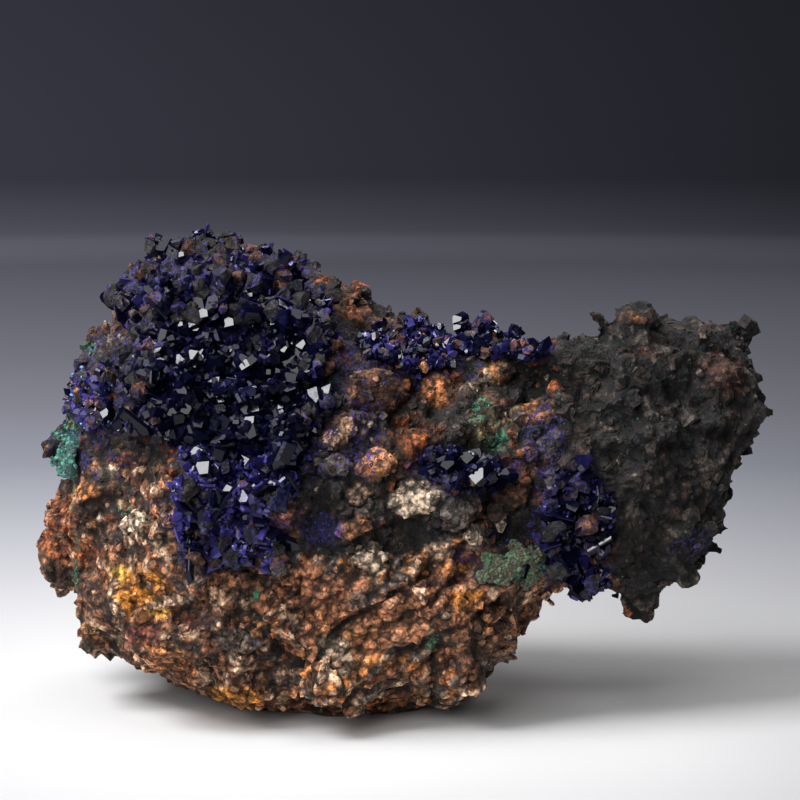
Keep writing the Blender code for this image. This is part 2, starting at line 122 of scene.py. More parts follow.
@dataclass(frozen=True)
class Sight:
    """The line of sight through which places on the specimen are named."""

    target: Vector = field(default_factory=lambda: Vector((-0.000153, 0.001286, 0.0657)))
    elevation: float = 8.0
    distance: float = 0.578

    @property
    def forward(self) -> Vector:
        """The direction in which the camera looks."""
        angle = math.radians(self.elevation)
        return Vector((0.0, math.cos(angle), -math.sin(angle)))

    @property
    def upward(self) -> Vector:
        """The picture's upward direction."""
        angle = math.radians(self.elevation)
        return Vector((0.0, math.sin(angle), math.cos(angle)))

    @property
    def eye(self) -> Vector:
        """The point from which the camera looks."""
        return self.target - self.forward * self.distance

    def places(self, points: np.ndarray) -> np.ndarray:
        """Gives the place of each point.

        Args:
            points: One row per point, in metres.

        Returns:
            One row (across, up) per point, in millimetres.
        """
        from_eye = points - np.array(self.eye)
        depth = from_eye @ np.array(self.forward)
        across = from_eye[:, 0] / depth
        up = from_eye @ np.array(self.upward) / depth
        return np.stack([across, up], axis=1) * self.distance / MM

    def ray(self, across: float, up: float) -> Vector:
        """Gives the direction from the eye to a place."""
        aim = self.target + Vector((across * MM, 0.0, 0.0)) + self.upward * up * MM
        return (aim - self.eye).normalized()


@dataclass(frozen=True)
class Chips:
    """The broken surface of one kind of rock: angular chips with sunk gaps between them, which the rock's
    colour darkens with painted shade.
    """

    size: float
    gap: float
    tilt: float
    step: float
    stretch: float = 1.0
    warp: float = 0.25

    def at(self, point: Vector, run: Vector) -> tuple[float, float, float]:
        """Gives the relief at a point.

        Args:
            point: The point, in millimetres.
            run: The direction along which the chips are drawn out.

        Returns:
            The height in millimetres, how deep in a gap the point is from 0 to 1, and a number
            from 0 to 1 that belongs to its chip.
        """
        shrunk = point - run * point.dot(run) * (1 - 1 / self.stretch)
        spot = shrunk / self.size
        spot = spot + noise.noise_vector(spot * 1.7) * self.warp
        distances, cells = noise.voronoi(spot)
        cell = cells[0]
        lean = noise.cell_vector(cell * 9.1) - Vector((0.5, 0.5, 0.5))
        number = noise.cell(cell * 13.7 + Vector((3.1, 7.7, 1.3))) % 1.0
        in_gap = 1 - float(smooth(0.0, 0.3, distances[1] - distances[0]))
        height = (spot - cell).dot(lean) * self.tilt + (number - 0.5) * self.step
        return height - in_gap * self.gap, in_gap, number


class Region(Enum):
    """A part of the rock with its own build: coarse chips, fine chips, colours and lightness."""

    BRECCIA = (
        Chips(5.6, 1.2, 1.8, 1.4, 1.0, 0.12),
        Chips(2.6, 0.4, 0.7, 0.5),
        (Swatch.BROWN, Swatch.UMBER, Swatch.SLATE, Swatch.RUST, Swatch.GREY, Swatch.UMBER, Swatch.SLATE),
        1.1,
    )
    LOBE = (
        Chips(4.6, 0.9, 1.3, 0.9, 1.2, 0.22),
        Chips(2.6, 0.4, 0.8, 0.5, 1.15, 0.2),
        (Swatch.SLATE, Swatch.UMBER, Swatch.SLATE, Swatch.GREY, Swatch.UMBER, Swatch.DARK),
        0.9,
    )
    LAYERS = (
        Chips(4.8, 1.0, 1.3, 1.1, 2.2, 0.18),
        Chips(2.6, 0.45, 0.6, 0.45, 1.5, 0.2),
        (Swatch.ROSE, Swatch.TAN, Swatch.ROSE, Swatch.BROWN, Swatch.GREY, Swatch.ORANGE, Swatch.PALE),
        2.05,
    )
    GRAVEL = (
        Chips(4.2, 0.6, 1.1, 0.9),
        Chips(2.6, 0.4, 0.7, 0.5),
        (Swatch.TAN, Swatch.BROWN, Swatch.RUST, Swatch.ROSE, Swatch.BROWN, Swatch.UMBER, Swatch.PALE),
        1.9,
    )

    @property
    def coarse(self) -> Chips:
        """The large chips."""
        return self.value[0]

    @property
    def fine(self) -> Chips:
        """The small chips on the large ones."""
        return self.value[1]

    @property
    def light(self) -> float:
        """How much lighter or darker the whole region is."""
        return self.value[3]

    def tone(self, number: float) -> Swatch:
        """Gives the colour of the chip with this number from 0 to 1."""
        tones = self.value[2]
        return tones[min(int(number * len(tones)), len(tones) - 1)]


def region_at(across: float, up: float, waver: float) -> Region:
    """Tells which region a place is in.

    Args:
        across: Millimetres to the right of the aimed-at point.
        up: Millimetres above it.
        waver: From -1 to 1, which makes the borders irregular.

    Returns:
        The region.
    """
    if across > 36 + 5 * waver - 0.25 * up:
        return Region.LOBE
    if across > -24 + 6 * waver and up < -32 + 5 * waver + 0.1 * across:
        return Region.LAYERS
    if across < -24 + 5 * waver and up < -14 + 4 * waver:
        return Region.GRAVEL
    return Region.BRECCIA


@dataclass(frozen=True)
class Patch:
    """An oval of one colour on the side that faces the camera."""

    swatch: Swatch
    across: float
    up: float
    wide: float
    high: float
    turn: float = 0.0

    def share(self, places: np.ndarray, waver: np.ndarray) -> np.ndarray:
        """Gives how strongly each place is inside the patch.

        Args:
            places: One row (across, up) per point.
            waver: One number per point, which makes the border irregular.

        Returns:
            The share, 0 to 1.
        """
        return oval(places, (self.across, self.up, self.wide, self.high), self.turn, waver)


def oval(
    places: np.ndarray, shape: tuple[float, float, float, float], turn: float, waver: np.ndarray
) -> np.ndarray:
    """Gives how strongly each place is inside an oval.

    Args:
        places: One row (across, up) per point.
        shape: The oval's across, up, half width and half height.
        turn: How far it is turned, in radians.
        waver: One number per point, which makes the border irregular.

    Returns:
        The share, 0 to 1.
    """
    away = places - np.array(shape[:2])
    along = away[:, 0] * math.cos(turn) + away[:, 1] * math.sin(turn)
    beside = away[:, 1] * math.cos(turn) - away[:, 0] * math.sin(turn)
    reach = np.hypot(along / shape[2], beside / shape[3]) + waver * 0.45
    return smooth(1.25, 0.8, reach)


PATCHES = tuple(
    Patch(*row)
    for row in (
        (Swatch.VIOLET, -17.8, -28.2, 4.3, 3.5, 0.1),
        (Swatch.TEAL, -17.8, 3.9, 6.1, 2.6, 0.1),
        (Swatch.ORANGE, 3.9, 15.6, 5.6, 1.5, -0.3),
        (Swatch.BROWN, -5.2, 2.2, 7.8, 5.2, 0),
        (Swatch.ORANGE, 8.7, 3.3, 3.5, 4.3, 0),
        (Swatch.PALE, -14.1, -5.4, 5.6, 4.1, -0.3),
        (Swatch.TAN, -4.3, -13.0, 4.8, 4.3, 0.2),
        (Swatch.RUST, 3.3, -6.5, 5.2, 3.0, 0),
        (Swatch.CREAM, 3.3, -21.2, 5.6, 4.1, 0.5),
        (Swatch.GREY, 13.0, -24.3, 4.8, 3.5, 0.4),
        (Swatch.RUST, 26.7, -13.4, 6.1, 3.3, 0.1),
        (Swatch.CREAM, 16.3, -30.4, 2.0, 2.0, 0),
        (Swatch.OLIVE, 20.6, -4.3, 4.8, 3.0, 0.2),
        (Swatch.OLIVE, 16.3, -8.7, 4.3, 2.2, 0),
        (Swatch.TAN, -11.9, -55.3, 7.4, 3.0, 0.4),
        (Swatch.ROSE, 4.3, -45.5, 13.0, 6.5, 0.5),
        (Swatch.CREAM, -14.5, -55.3, 3.9, 3.9, 0.2),
        (Swatch.OCHRE, -56.4, -41.2, 5.6, 4.8, 0.4),
        (Swatch.YELLOW, -61.1, -37.3, 2.2, 1.7, 0),
        (Swatch.YELLOW, -52.0, -45.5, 3.0, 1.7, 0.3),
        (Swatch.RED, -55.7, -51.2, 3.9, 2.8, 0),
        (Swatch.RED, -44.4, -48.1, 3.0, 1.5, 0),
        (Swatch.RUST, -68.3, -33.2, 3.5, 2.6, 0),
        (Swatch.BROWN, -68.3, -43.4, 3.9, 7.4, -0.3),
        (Swatch.ORANGE, -68.3, -19.9, 3.0, 1.7, 0),
        (Swatch.CREAM, -57.5, -25.8, 2.4, 1.7, 0.1),
        (Swatch.CREAM, -64.0, -15.6, 2.0, 1.3, 0.3),
        # Painted shade: on the ledge that stands back on the left, its umber and rust are painted darker
        # than the rock's own colour, and the dark patch below them is painted shade on its underside.
        (Swatch.UMBER, -73.7, -21.7, 3.0, 5.6, 0),
        (Swatch.RUST, -74.1, -28.2, 4.5, 7.5, 0),
        (Swatch.DARK, -73.3, -37.9, 4.8, 2.6, -0.6),
        (Swatch.ORANGE, -65.0, 17.8, 5.2, 1.7, 0.5),
        (Swatch.RUST, -61.1, 21.2, 2.2, 1.3, 0),
        (Swatch.ORANGE, -59.0, 4.3, 3.9, 2.6, 0),
        (Swatch.TAN, -62.2, -0.4, 2.6, 2.6, 0.2),
        (Swatch.TAN, -42.3, 26.2, 3.0, 1.7, 0.3),
        (Swatch.CREAM, -29.9, 31.0, 2.0, 1.3, 0.2),
        (Swatch.RUST, -21.7, 21.7, 2.6, 3.0, 0),
        (Swatch.GREY, -16.3, 17.8, 3.0, 3.0, 0),
        (Swatch.BRICK, -14.1, 10.4, 3.3, 2.4, 0),
        (Swatch.TAN, -29.3, 10.8, 1.7, 2.0, 0),
        (Swatch.RUST, -10.8, 20.6, 6.1, 3.0, -0.5),
        (Swatch.UMBER, -8.7, 15.2, 4.3, 1.7, -0.4),
        (Swatch.BRICK, -23.2, -24.9, 3.9, 2.6, 0.3),
        (Swatch.ORANGE, -24.9, -30.4, 3.5, 3.0, 0.4),
        (Swatch.CREAM, -6.5, -34.7, 3.9, 3.5, 0),
        (Swatch.ROSE, -13.0, -43.4, 7.4, 5.6, 0.6),
        (Swatch.GREY, -8.7, -43.4, 3.0, 2.2, 0.3),
        (Swatch.PALE, -38.6, -43.4, 2.6, 2.2, 0),
        (Swatch.CREAM, -49.9, -44.2, 4.3, 1.1, 0.1),
        (Swatch.GREY, -36.4, -52.0, 3.5, 2.6, 0),
        (Swatch.BRICK, 70.5, 5.4, 5.6, 4.8, 0),
        (Swatch.UMBER, 52.0, -31.4, 8.7, 4.8, 0.2),
        (Swatch.BRICK, 52.0, 10.8, 4.3, 1.3, -0.2),
        (Swatch.RUST, 42.9, -33.0, 3.3, 3.3, 0),
        (Swatch.GREY, 34.7, -8.7, 6.1, 3.0, 0.2),
        (Swatch.ORANGE, 52.0, 17.8, 2.6, 0.9, -0.3),
        (Swatch.RUST, 42.9, -33.0, 2.8, 2.8, 0),
        (Swatch.SLATE, 61.8, 0.0, 6.5, 8.7, 0),
        (Swatch.DARK, 47.0, -14.3, 2.6, 3.5, 0),
        (Swatch.DARK, 43.4, 6.1, 7.8, 2.2, -0.6),
        (Swatch.CREAM, 17.8, 4.8, 2.0, 1.2, 0.3),
        (Swatch.UMBER, 21.7, 11.9, 6.5, 3.0, 0.2),
        (Swatch.DARK, 6.5, -29.3, 3.9, 2.2, 0),
        (Swatch.GREY, -43.4, -37.9, 3.5, 2.2, 0),
        (Swatch.ROSE, -34.7, -37.9, 6.5, 3.0, 0.1),
        (Swatch.OCHRE, -36.9, -65.0, 6.5, 3.0, 0.1),
        (Swatch.ORANGE, -49.9, -56.4, 6.5, 3.0, -0.5),
        (Swatch.OCHRE, 15.2, -43.4, 3.5, 2.2, 0.3),
        (Swatch.BROWN, 20.0, -52.0, 13.0, 9.0, 0.3),
        (Swatch.GREY, 24.0, -58.0, 6.5, 3.5, 0.3),
        (Swatch.GREY, 41.5, 4.2, 8.0, 1.3, -0.68),
    )
)


@dataclass(frozen=True)
class Block:
    """A stone held in the rock, standing proud of it with a sunk gap all round that is darkened with
    painted shade.
    """

    swatch: Swatch
    across: float
    up: float
    wide: float
    high: float
    turn: float

    def reach(self, places: np.ndarray, waver: np.ndarray) -> np.ndarray:
        """Gives how far out each place is: under 1 inside the stone.

        Args:
            places: One row (across, up) per point.
            waver: One number per point, which makes the border irregular.

        Returns:
            The distance, in half widths.
        """
        away = places - np.array((self.across, self.up))
        along = away[:, 0] * math.cos(self.turn) + away[:, 1] * math.sin(self.turn)
        beside = away[:, 1] * math.cos(self.turn) - away[:, 0] * math.sin(self.turn)
        chance = random.Random(f"{self.across} {self.up}")
        rim = np.zeros(len(places))
        for side in range(6):
            angle = (side + chance.uniform(-0.35, 0.35)) * math.tau / 6
            out = along / self.wide * 2 * math.cos(angle) + beside / self.high * 2 * math.sin(angle)
            rim = np.maximum(rim, out / chance.uniform(0.78, 0.98))
        return rim + waver * 0.16


BLOCKS = tuple(
    Block(*row)
    for row in (
        (Swatch.BROWN, -5.0, 2.6, 15, 10.5, -0.12),
        (Swatch.PALE, -14.3, -6.2, 10.5, 8.5, 0.35),
        (Swatch.RUST, 8.6, 3.2, 7.5, 8.5, 0.3),
        (Swatch.TAN, -4.6, -13.4, 10, 8.5, 0.1),
        (Swatch.RUST, 3.4, -9.5, 9, 8, -0.3),
        (Swatch.CREAM, 3.4, -21.2, 11.5, 9, 0.55),
        (Swatch.GREY, -14, -14, 9, 6, 0.2),
        (Swatch.GREY, 12.6, -25, 10, 8, 0.4),
        (Swatch.CREAM, 16.2, -30, 4.5, 6, 0.1),
        (Swatch.TAN, -9.5, -27.5, 9, 5, 0.25),
        (Swatch.GREY, -19.4, 15.6, 8, 7, 0.4),
        (Swatch.BRICK, -15.2, 8.9, 6.5, 5.5, 0.2),
        (Swatch.TAN, 21, 6.7, 8, 6, 0.1),
        (Swatch.ORANGE, -63, 3, 7, 7.5, 0.2),
        (Swatch.CREAM, -57.5, -26.5, 7, 5, 0.3),
        (Swatch.TAN, -41.5, 25.5, 6, 5.5, 0.1),
        (Swatch.GREY, -38.5, -37, 6, 5, 0.2),
        (Swatch.PALE, -9, -20.5, 6, 4.5, 0.2),
        (Swatch.CREAM, -6.0, -34.5, 7, 6, 0.1),
        (Swatch.TAN, 29.5, -2.0, 9, 6, 0.3),
        (Swatch.BROWN, 24.5, -21.5, 9, 7, 0.2),
        (Swatch.TAN, -9.5, -50.0, 7, 5, 0.5),
        (Swatch.PALE, -43.5, -60.0, 6, 4, -0.4),
        (Swatch.GREY, -32.0, -52.5, 6, 5, 0.3),
        (Swatch.PALE, -50.5, -26.0, 5, 4, 0.3),
        (Swatch.ROSE, -25.0, -40.0, 7, 5, -0.3),
    )
)

BLUE_PLACES = (
    (-66.1, 0.0, 7.4, 13.4), (-48.1, 29.9, 4.8, 3.5), (-34.7, 29.9, 10.8, 5.2), (-21.7, 26.0, 4.8, 6.5),
    (-17.8, -28.2, 4.8, 3.5), (-17.8, 3.5, 5.6, 3.0), (-15.2, 10.8, 6.5, 6.5), (-7.6, -8.7, 4.8, 8.7),
    (2.2, 9.0, 13.0, 6.0), (31.4, -8.7, 4.3, 7.8), (32.1, -23.8, 3.0, 13.0), (36.9, -31.4, 8.7, 8.7),
    (15.2, -15.2, 10.8, 3.9), (14.7, -34.7, 2.6, 1.7), (-36.9, -26.0, 15.2, 8.7), (-54.2, 6.5, 10.8, 10.8),
    (10.8, 15.2, 13.0, 4.3), (65.0, -30.4, 5.6, 3.0), (-21.7, -8.7, 6.5, 10.8), (-26.0, -4.3, 13.0, 13.0),
)

GREEN_PLACES = (
    (-72.0, -6.5, 2.0, 4.8), (-69.8, 1.1, 1.3, 2.0), (-60.3, -23.8, 1.1, 1.1), (-31.4, -42.3, 1.5, 1.7),
    (-25.4, -14.5, 1.7, 1.7), (6.5, -52.0, 1.1, 3.0), (18.4, -1.1, 2.6, 2.0), (21.2, -9.1, 3.5, 2.0),
    (26.0, -36.0, 7.4, 3.9), (16.9, -3.9, 2.6, 1.3), (-67.6, 11.9, 1.7, 1.3), (-21.7, 20.6, 1.1, 0.9),
    (11.3, 19.5, 1.3, 1.1), (-17.3, 3.5, 3.0, 1.7), (-70.5, -34.7, 0.7, 8.7), (-71.1, -17.3, 0.7, 6.5),
)


@dataclass(frozen=True)
class Crack:
    """A crack that runs through places on the rock, in millimetres across and up; it is sunk and darkened
    with painted shade.
    """

    wide: float
    stops: tuple[tuple[float, float], ...]

    def depth(self, places: np.ndarray, waver: np.ndarray) -> np.ndarray:
        """Gives how deep in the crack each place is.

        Args:
            places: One row (across, up) per point.
            waver: One number per point, which makes the crack irregular.

        Returns:
            The depth, 0 to 1.
        """
        nearest = np.full(len(places), np.inf)
        for start, end in zip(np.array(self.stops), np.array(self.stops[1:])):
            run = end - start
            along = np.clip((places - start) @ run / (run @ run), 0, 1)
            nearest = np.minimum(nearest, np.hypot(*(places - start - along[:, None] * run).T))
        return smooth(self.wide, 0.35 * self.wide, nearest + waver * 0.7)


CRACKS = (
    Crack(1.3, ((-20.2, -66.6), (-17.8, -56.4), (-11.9, -48.8), (-2.2, -43.4), (6.5, -36.9))),
    Crack(1.1, ((0.0, -55.7), (14.1, -48.8), (21.7, -43.4))),
    Crack(1.1, ((8.0, -52.0), (6.9, -65.0))),
    Crack(1.2, ((16.3, -48.8), (17.3, -56.4), (21.7, -62.9))),
    Crack(1.1, ((-4.0, -49.5), (7.0, -44.0), (13.0, -38.0))),
    Crack(1.0, ((-46.0, -30.0), (-40.0, -36.5), (-30.0, -38.0), (-22.0, -42.0))),
    Crack(1.0, ((-33.0, -44.0), (-28.0, -52.0), (-22.0, -58.0))),
    Crack(1.6, ((34.3, 5.0), (40.0, 0.8), (46.5, -4.6))),
    Crack(1.1, ((41.2, 15.2), (52.0, 10.8), (60.7, 0.0))),
    Crack(1.1, ((43.4, 0.0), (52.0, -8.7), (62.9, -10.8))),
    Crack(1.1, ((50.0, -20.0), (56.0, -26.0), (62.0, -27.0))),
)


class Weave:
    """A material's nodes, added one by one, each wired as it is made."""

    def __init__(self, name: str) -> None:
        """Starts a material with one principled shader.

        Args:
            name: The material's name.
        """
        self.material = bpy.data.materials.new(name)
        self.material.use_nodes = True
        self.nodes = self.material.node_tree.nodes
        self.links = self.material.node_tree.links
        self.shader = self.nodes["Principled BSDF"]
        self.space = self.node("ShaderNodeTexCoord").outputs["Object"]

    def node(self, kind: str, **settings: object) -> bpy.types.Node:
        """Adds a node.

        Args:
            kind: The node's type.
            settings: Its properties by name.

        Returns:
            The node.
        """
        made = self.nodes.new(kind)
        for name, value in settings.items():
            setattr(made, name, value)
        return made

    def feed(self, socket: bpy.types.NodeSocket, value: object) -> None:
        """Links an output to a socket, or sets the socket to a number or colour."""
        if isinstance(value, bpy.types.NodeSocket):
            self.links.new(value, socket)
        elif isinstance(value, tuple) and len(value) == 3 and socket.type == "RGBA":
            socket.default_value = (*value, 1.0)
        else:
            socket.default_value = value

    def attribute(self, name: str) -> bpy.types.Node:
        """Reads a value that is stored on the mesh."""
        return self.node("ShaderNodeAttribute", attribute_name=name)

    def noise(self, per_mm: float, detail: float = 4.0, roughness: float = 0.6) -> bpy.types.NodeSocket:
        """Gives smooth noise.

        Args:
            per_mm: How many swells there are in a millimetre.
            detail: How many finer layers are added.
            roughness: How strong the finer layers are.

        Returns:
            The noise, around 0.5.
        """
        made = self.node("ShaderNodeTexNoise")
        self.feed(made.inputs["Vector"], self.space)
        self.feed(made.inputs["Scale"], per_mm / MM)
        self.feed(made.inputs["Detail"], detail)
        self.feed(made.inputs["Roughness"], roughness)
        return made.outputs["Fac"]

    def cells(self, per_mm: float, feature: str = "F1") -> bpy.types.Node:
        """Gives a texture of small cells.

        Args:
            per_mm: How many cells there are in a millimetre.
            feature: What is measured in them.

        Returns:
            The node, with the outputs Distance and, for F1, Color.
        """
        made = self.node("ShaderNodeTexVoronoi", feature=feature)
        self.feed(made.inputs["Vector"], self.space)
        self.feed(made.inputs["Scale"], per_mm / MM)
        return made

    def ramp(self, value: object, stops: Sequence[tuple[float, object]]) -> bpy.types.NodeSocket:
        """Turns a number into a colour.

        Args:
            value: The number.
            stops: Rising places, each with a colour or a grey.

        Returns:
            The colour.
        """
        made = self.node("ShaderNodeValToRGB")
        points = made.color_ramp.elements
        while len(points) < len(stops):
            points.new(0.5)
        for point, (position, colour) in zip(points, stops):
            point.position = position
            point.color = (*colour, 1.0) if isinstance(colour, tuple) else (colour, colour, colour, 1.0)
        self.feed(made.inputs["Fac"], value)
        return made.outputs["Color"]

    def math(
        self, kind: str, first: object, second: object = 0.0, clamp: bool = False
    ) -> bpy.types.NodeSocket:
        """Does a sum.

        Args:
            kind: The operation.
            first: The first number.
            second: The second number.
            clamp: Whether the result is kept from 0 to 1.

        Returns:
            The result.
        """
        made = self.node("ShaderNodeMath", operation=kind, use_clamp=clamp)
        self.feed(made.inputs[0], first)
        self.feed(made.inputs[1], second)
        return made.outputs[0]

    def mix(self, share: object, first: object, second: object, kind: str = "MIX") -> bpy.types.NodeSocket:
        """Mixes two colours.

        Args:
            share: How much of the second is used.
            first: The first colour.
            second: The second colour.
            kind: How they are mixed.

        Returns:
            The mixed colour.
        """
        made = self.node("ShaderNodeMix", data_type="RGBA", blend_type=kind)
        self.feed(made.inputs["Factor"], share)
        self.feed(made.inputs[6], first)
        self.feed(made.inputs[7], second)
        return made.outputs[2]

    def bump(
        self, height: object, strength: float, depth: float, under: object = None
    ) -> bpy.types.NodeSocket:
        """Makes a surface look raised where the height is large.

        Args:
            height: The height, 0 to 1.
            strength: How much of the relief is used.
            depth: How high a height of 1 is, in millimetres.
            under: A coarser relief that this one lies on.

        Returns:
            The direction for a Normal socket.
        """
        made = self.node("ShaderNodeBump")
        self.feed(made.inputs["Height"], height)
        self.feed(made.inputs["Strength"], strength)
        self.feed(made.inputs["Distance"], depth * MM)
        if under is not None:
            self.feed(made.inputs["Normal"], under)
        return made.outputs["Normal"]

    def finish(self, **sockets: object) -> bpy.types.Material:
        """Feeds the shader's sockets by name, with _ for a space, and gives the material."""
        for name, value in sockets.items():
            self.feed(self.shader.inputs[name.replace("_", " ")], value)
        return self.material


@dataclass(frozen=True)
class RockFinish:
    """Rough, grainy rock that takes its colour from the mesh, with blue and green grains in it, and painted
    shade in its pits and round its small chips.
    """

    name: str = "broken_rock"
    roughness: tuple[float, float] = (0.62, 0.92)
    blues: tuple[Colour, Colour] = (linear(12, 11, 30), linear(66, 56, 142))
    greens: tuple[Colour, Colour] = (linear(24, 74, 56), linear(74, 150, 112))

    def build(self) -> bpy.types.Material:
        """Builds the material."""
        weave = Weave(self.name)
        tone = weave.attribute("tone").outputs["Color"]
        grain = weave.node("ShaderNodeSeparateColor")
        weave.feed(grain.inputs["Color"], weave.cells(1.6).outputs["Color"])
        speckle = weave.ramp(
            grain.outputs["Red"],
            ((0.0, 0.36), (0.15, 0.5), (0.3, 0.85), (0.75, 1.0), (0.92, 1.35), (0.98, 1.8)),
        )
        body = weave.mix(0.9, tone, speckle, "MULTIPLY")
        fine = weave.noise(1.1, 3.0, 0.75)
        # Painted shade and light: the colour is darkened where the fine bump noise is low and lightened
        # where it is high.
        pit_shade = weave.ramp(fine, ((0.36, 0.12), (0.5, 1.0), (0.64, 1.35)))
        body = weave.mix(0.85, body, pit_shade, "MULTIPLY")
        chips = weave.cells(0.6)
        chip = weave.node("ShaderNodeSeparateColor")
        weave.feed(chip.inputs["Color"], chips.outputs["Color"])
        shades = weave.ramp(chip.outputs["Red"], ((0.0, 0.55), (0.3, 0.85), (0.7, 1.1), (0.95, 1.5)))
        body = weave.mix(0.8, body, shades, "MULTIPLY")
        # Painted shade and light: each small chip is lighter in its raised middle and darkened towards its
        # sunk edges, as the bump shapes it.
        rim = weave.ramp(chips.outputs["Distance"], ((0.2, 1.12), (0.45, 1.0), (0.7, 0.2)))
        body = weave.mix(1.0, body, rim, "MULTIPLY")
        turned = weave.math("SUBTRACT", 1.0, fine)
        for layer, colours, spread in (("azurite", self.blues, fine), ("malachite", self.greens, turned)):
            amount = weave.attribute(layer).outputs["Fac"]
            spots = weave.math("ADD", spread, weave.math("MULTIPLY", amount, 0.22))
            cover = weave.ramp(spots, ((0.67, 0.0), (0.72, 1.0)))
            body = weave.mix(cover, body, weave.mix(grain.outputs["Blue"], colours[0], colours[1]))
        dome = weave.math("MULTIPLY", chips.outputs["Distance"], -0.6)
        relief = weave.bump(weave.math("ADD", fine, dome), 1.0, 0.9)
        rough = weave.ramp(grain.outputs["Green"], ((0.0, self.roughness[0]), (1.0, self.roughness[1])))
        return weave.finish(Base_Color=body, Roughness=rough, Specular_IOR_Level=0.4, Normal=relief)


@dataclass(frozen=True)
class CrystalFinish:
    """Glassy azurite, from nearly black in the mass to bright blue in thin grains."""

    name: str = "azurite_crystal"
    roughness: tuple[float, float] = (0.08, 0.24)
    tints: tuple[tuple[float, Colour], ...] = (
        (0.0, (0.0012, 0.0015, 0.0050)),
        (0.3, (0.0030, 0.0032, 0.018)),
        (0.55, (0.016, 0.013, 0.075)),
        (0.8, (0.060, 0.048, 0.25)),
        (0.93, (0.12, 0.13, 0.46)),
        (1.0, (0.16, 0.40, 0.55)),
    )

    def build(self) -> bpy.types.Material:
        """Builds the material."""
        weave = Weave(self.name)
        tint = weave.attribute("tint").outputs["Fac"]
        zones = weave.math("MULTIPLY", weave.math("SUBTRACT", weave.noise(0.55, 2.0), 0.5), 0.35)
        body = weave.ramp(weave.math("ADD", tint, zones), self.tints)
        rough = weave.ramp(weave.noise(0.9, 2.0), ((0.35, self.roughness[0]), (0.7, self.roughness[1])))
        lines = weave.bump(weave.noise(1.6, 1.0), 0.12, 0.12)
        return weave.finish(Base_Color=body, Roughness=rough, IOR=1.37, Normal=lines)


@dataclass(frozen=True)
class MalachiteFinish:
    """Velvety green malachite."""

    name: str
    dark: Colour
    light: Colour

    def build(self) -> bpy.types.Material:
        """Builds the material."""
        weave = Weave(self.name)
        tint = weave.math("MULTIPLY", weave.attribute("tint").outputs["Fac"], 0.3)
        share = weave.math("ADD", weave.noise(0.7, 3.0, 0.75), tint)
        green = weave.ramp(share, ((0.6, self.dark), (0.8, self.light)))
        fibres = weave.bump(weave.noise(2.6, 2.0, 0.7), 0.7, 0.3)
        return weave.finish(Base_Color=green, Roughness=0.58, Sheen_Weight=0.25, Normal=fibres)


@dataclass(frozen=True)
class PaintedLightBackdropFinish:
    """A floor and wall whose colour is painted light: white under the specimen, falling off to a dark
    blue-grey wall, and lighter on the left than on the right.
    """

    name: str = "backdrop_painted_light"
    reach: float = 3.0
    painted_side_light: float = 1.3
    stops: tuple[tuple[float, Colour], ...] = (
        (0.0, (0.644, 0.644, 0.644)),
        (0.017, (0.589, 0.589, 0.593)),
        (0.035, (0.451, 0.451, 0.460)),
        (0.055, (0.354, 0.354, 0.377)),
        (0.082, (0.262, 0.267, 0.294)),
        (0.113, (0.179, 0.184, 0.216)),
        (0.157, (0.138, 0.140, 0.166)),
        (0.21, (0.117, 0.118, 0.143)),
        (0.283, (0.110, 0.110, 0.139)),
        (0.36, (0.112, 0.112, 0.142)),
        (0.395, (0.150, 0.150, 0.190)),
        (0.425, (0.165, 0.165, 0.210)),
        (0.45, (0.132, 0.133, 0.170)),
        (0.50, (0.046, 0.047, 0.065)),
        (0.60, (0.036, 0.037, 0.052)),
        (0.65, (0.028, 0.028, 0.043)),
        (1.0, (0.02, 0.02, 0.03)),
    )

    def build(self) -> bpy.types.Material:
        """Builds the material."""
        weave = Weave(self.name)
        parts = weave.node("ShaderNodeSeparateXYZ")
        weave.feed(parts.inputs["Vector"], weave.space)
        flat = weave.node("ShaderNodeVectorMath", operation="MULTIPLY")
        weave.feed(flat.inputs[0], weave.space)
        flat.inputs[1].default_value = (1.0, 1.0, 0.0)
        out = weave.node("ShaderNodeVectorMath", operation="LENGTH")
        weave.feed(out.inputs[0], flat.outputs[0])
        along = weave.math("ADD", out.outputs["Value"], parts.outputs["Z"])
        card = weave.ramp(weave.math("DIVIDE", along, self.reach), self.stops)
        # Painted light: the card is lighter on the left side, where the key lamp hangs, and darker on the
        # right.
        across = weave.math("SUBTRACT", 1.0, weave.math("MULTIPLY", parts.outputs["X"], self.painted_side_light))
        side = weave.math("MINIMUM", weave.math("MAXIMUM", across, 0.6), 1.5)
        card = weave.mix(1.0, card, side, "MULTIPLY")
        return weave.finish(Base_Color=card, Roughness=0.9, Specular_IOR_Level=0.15)


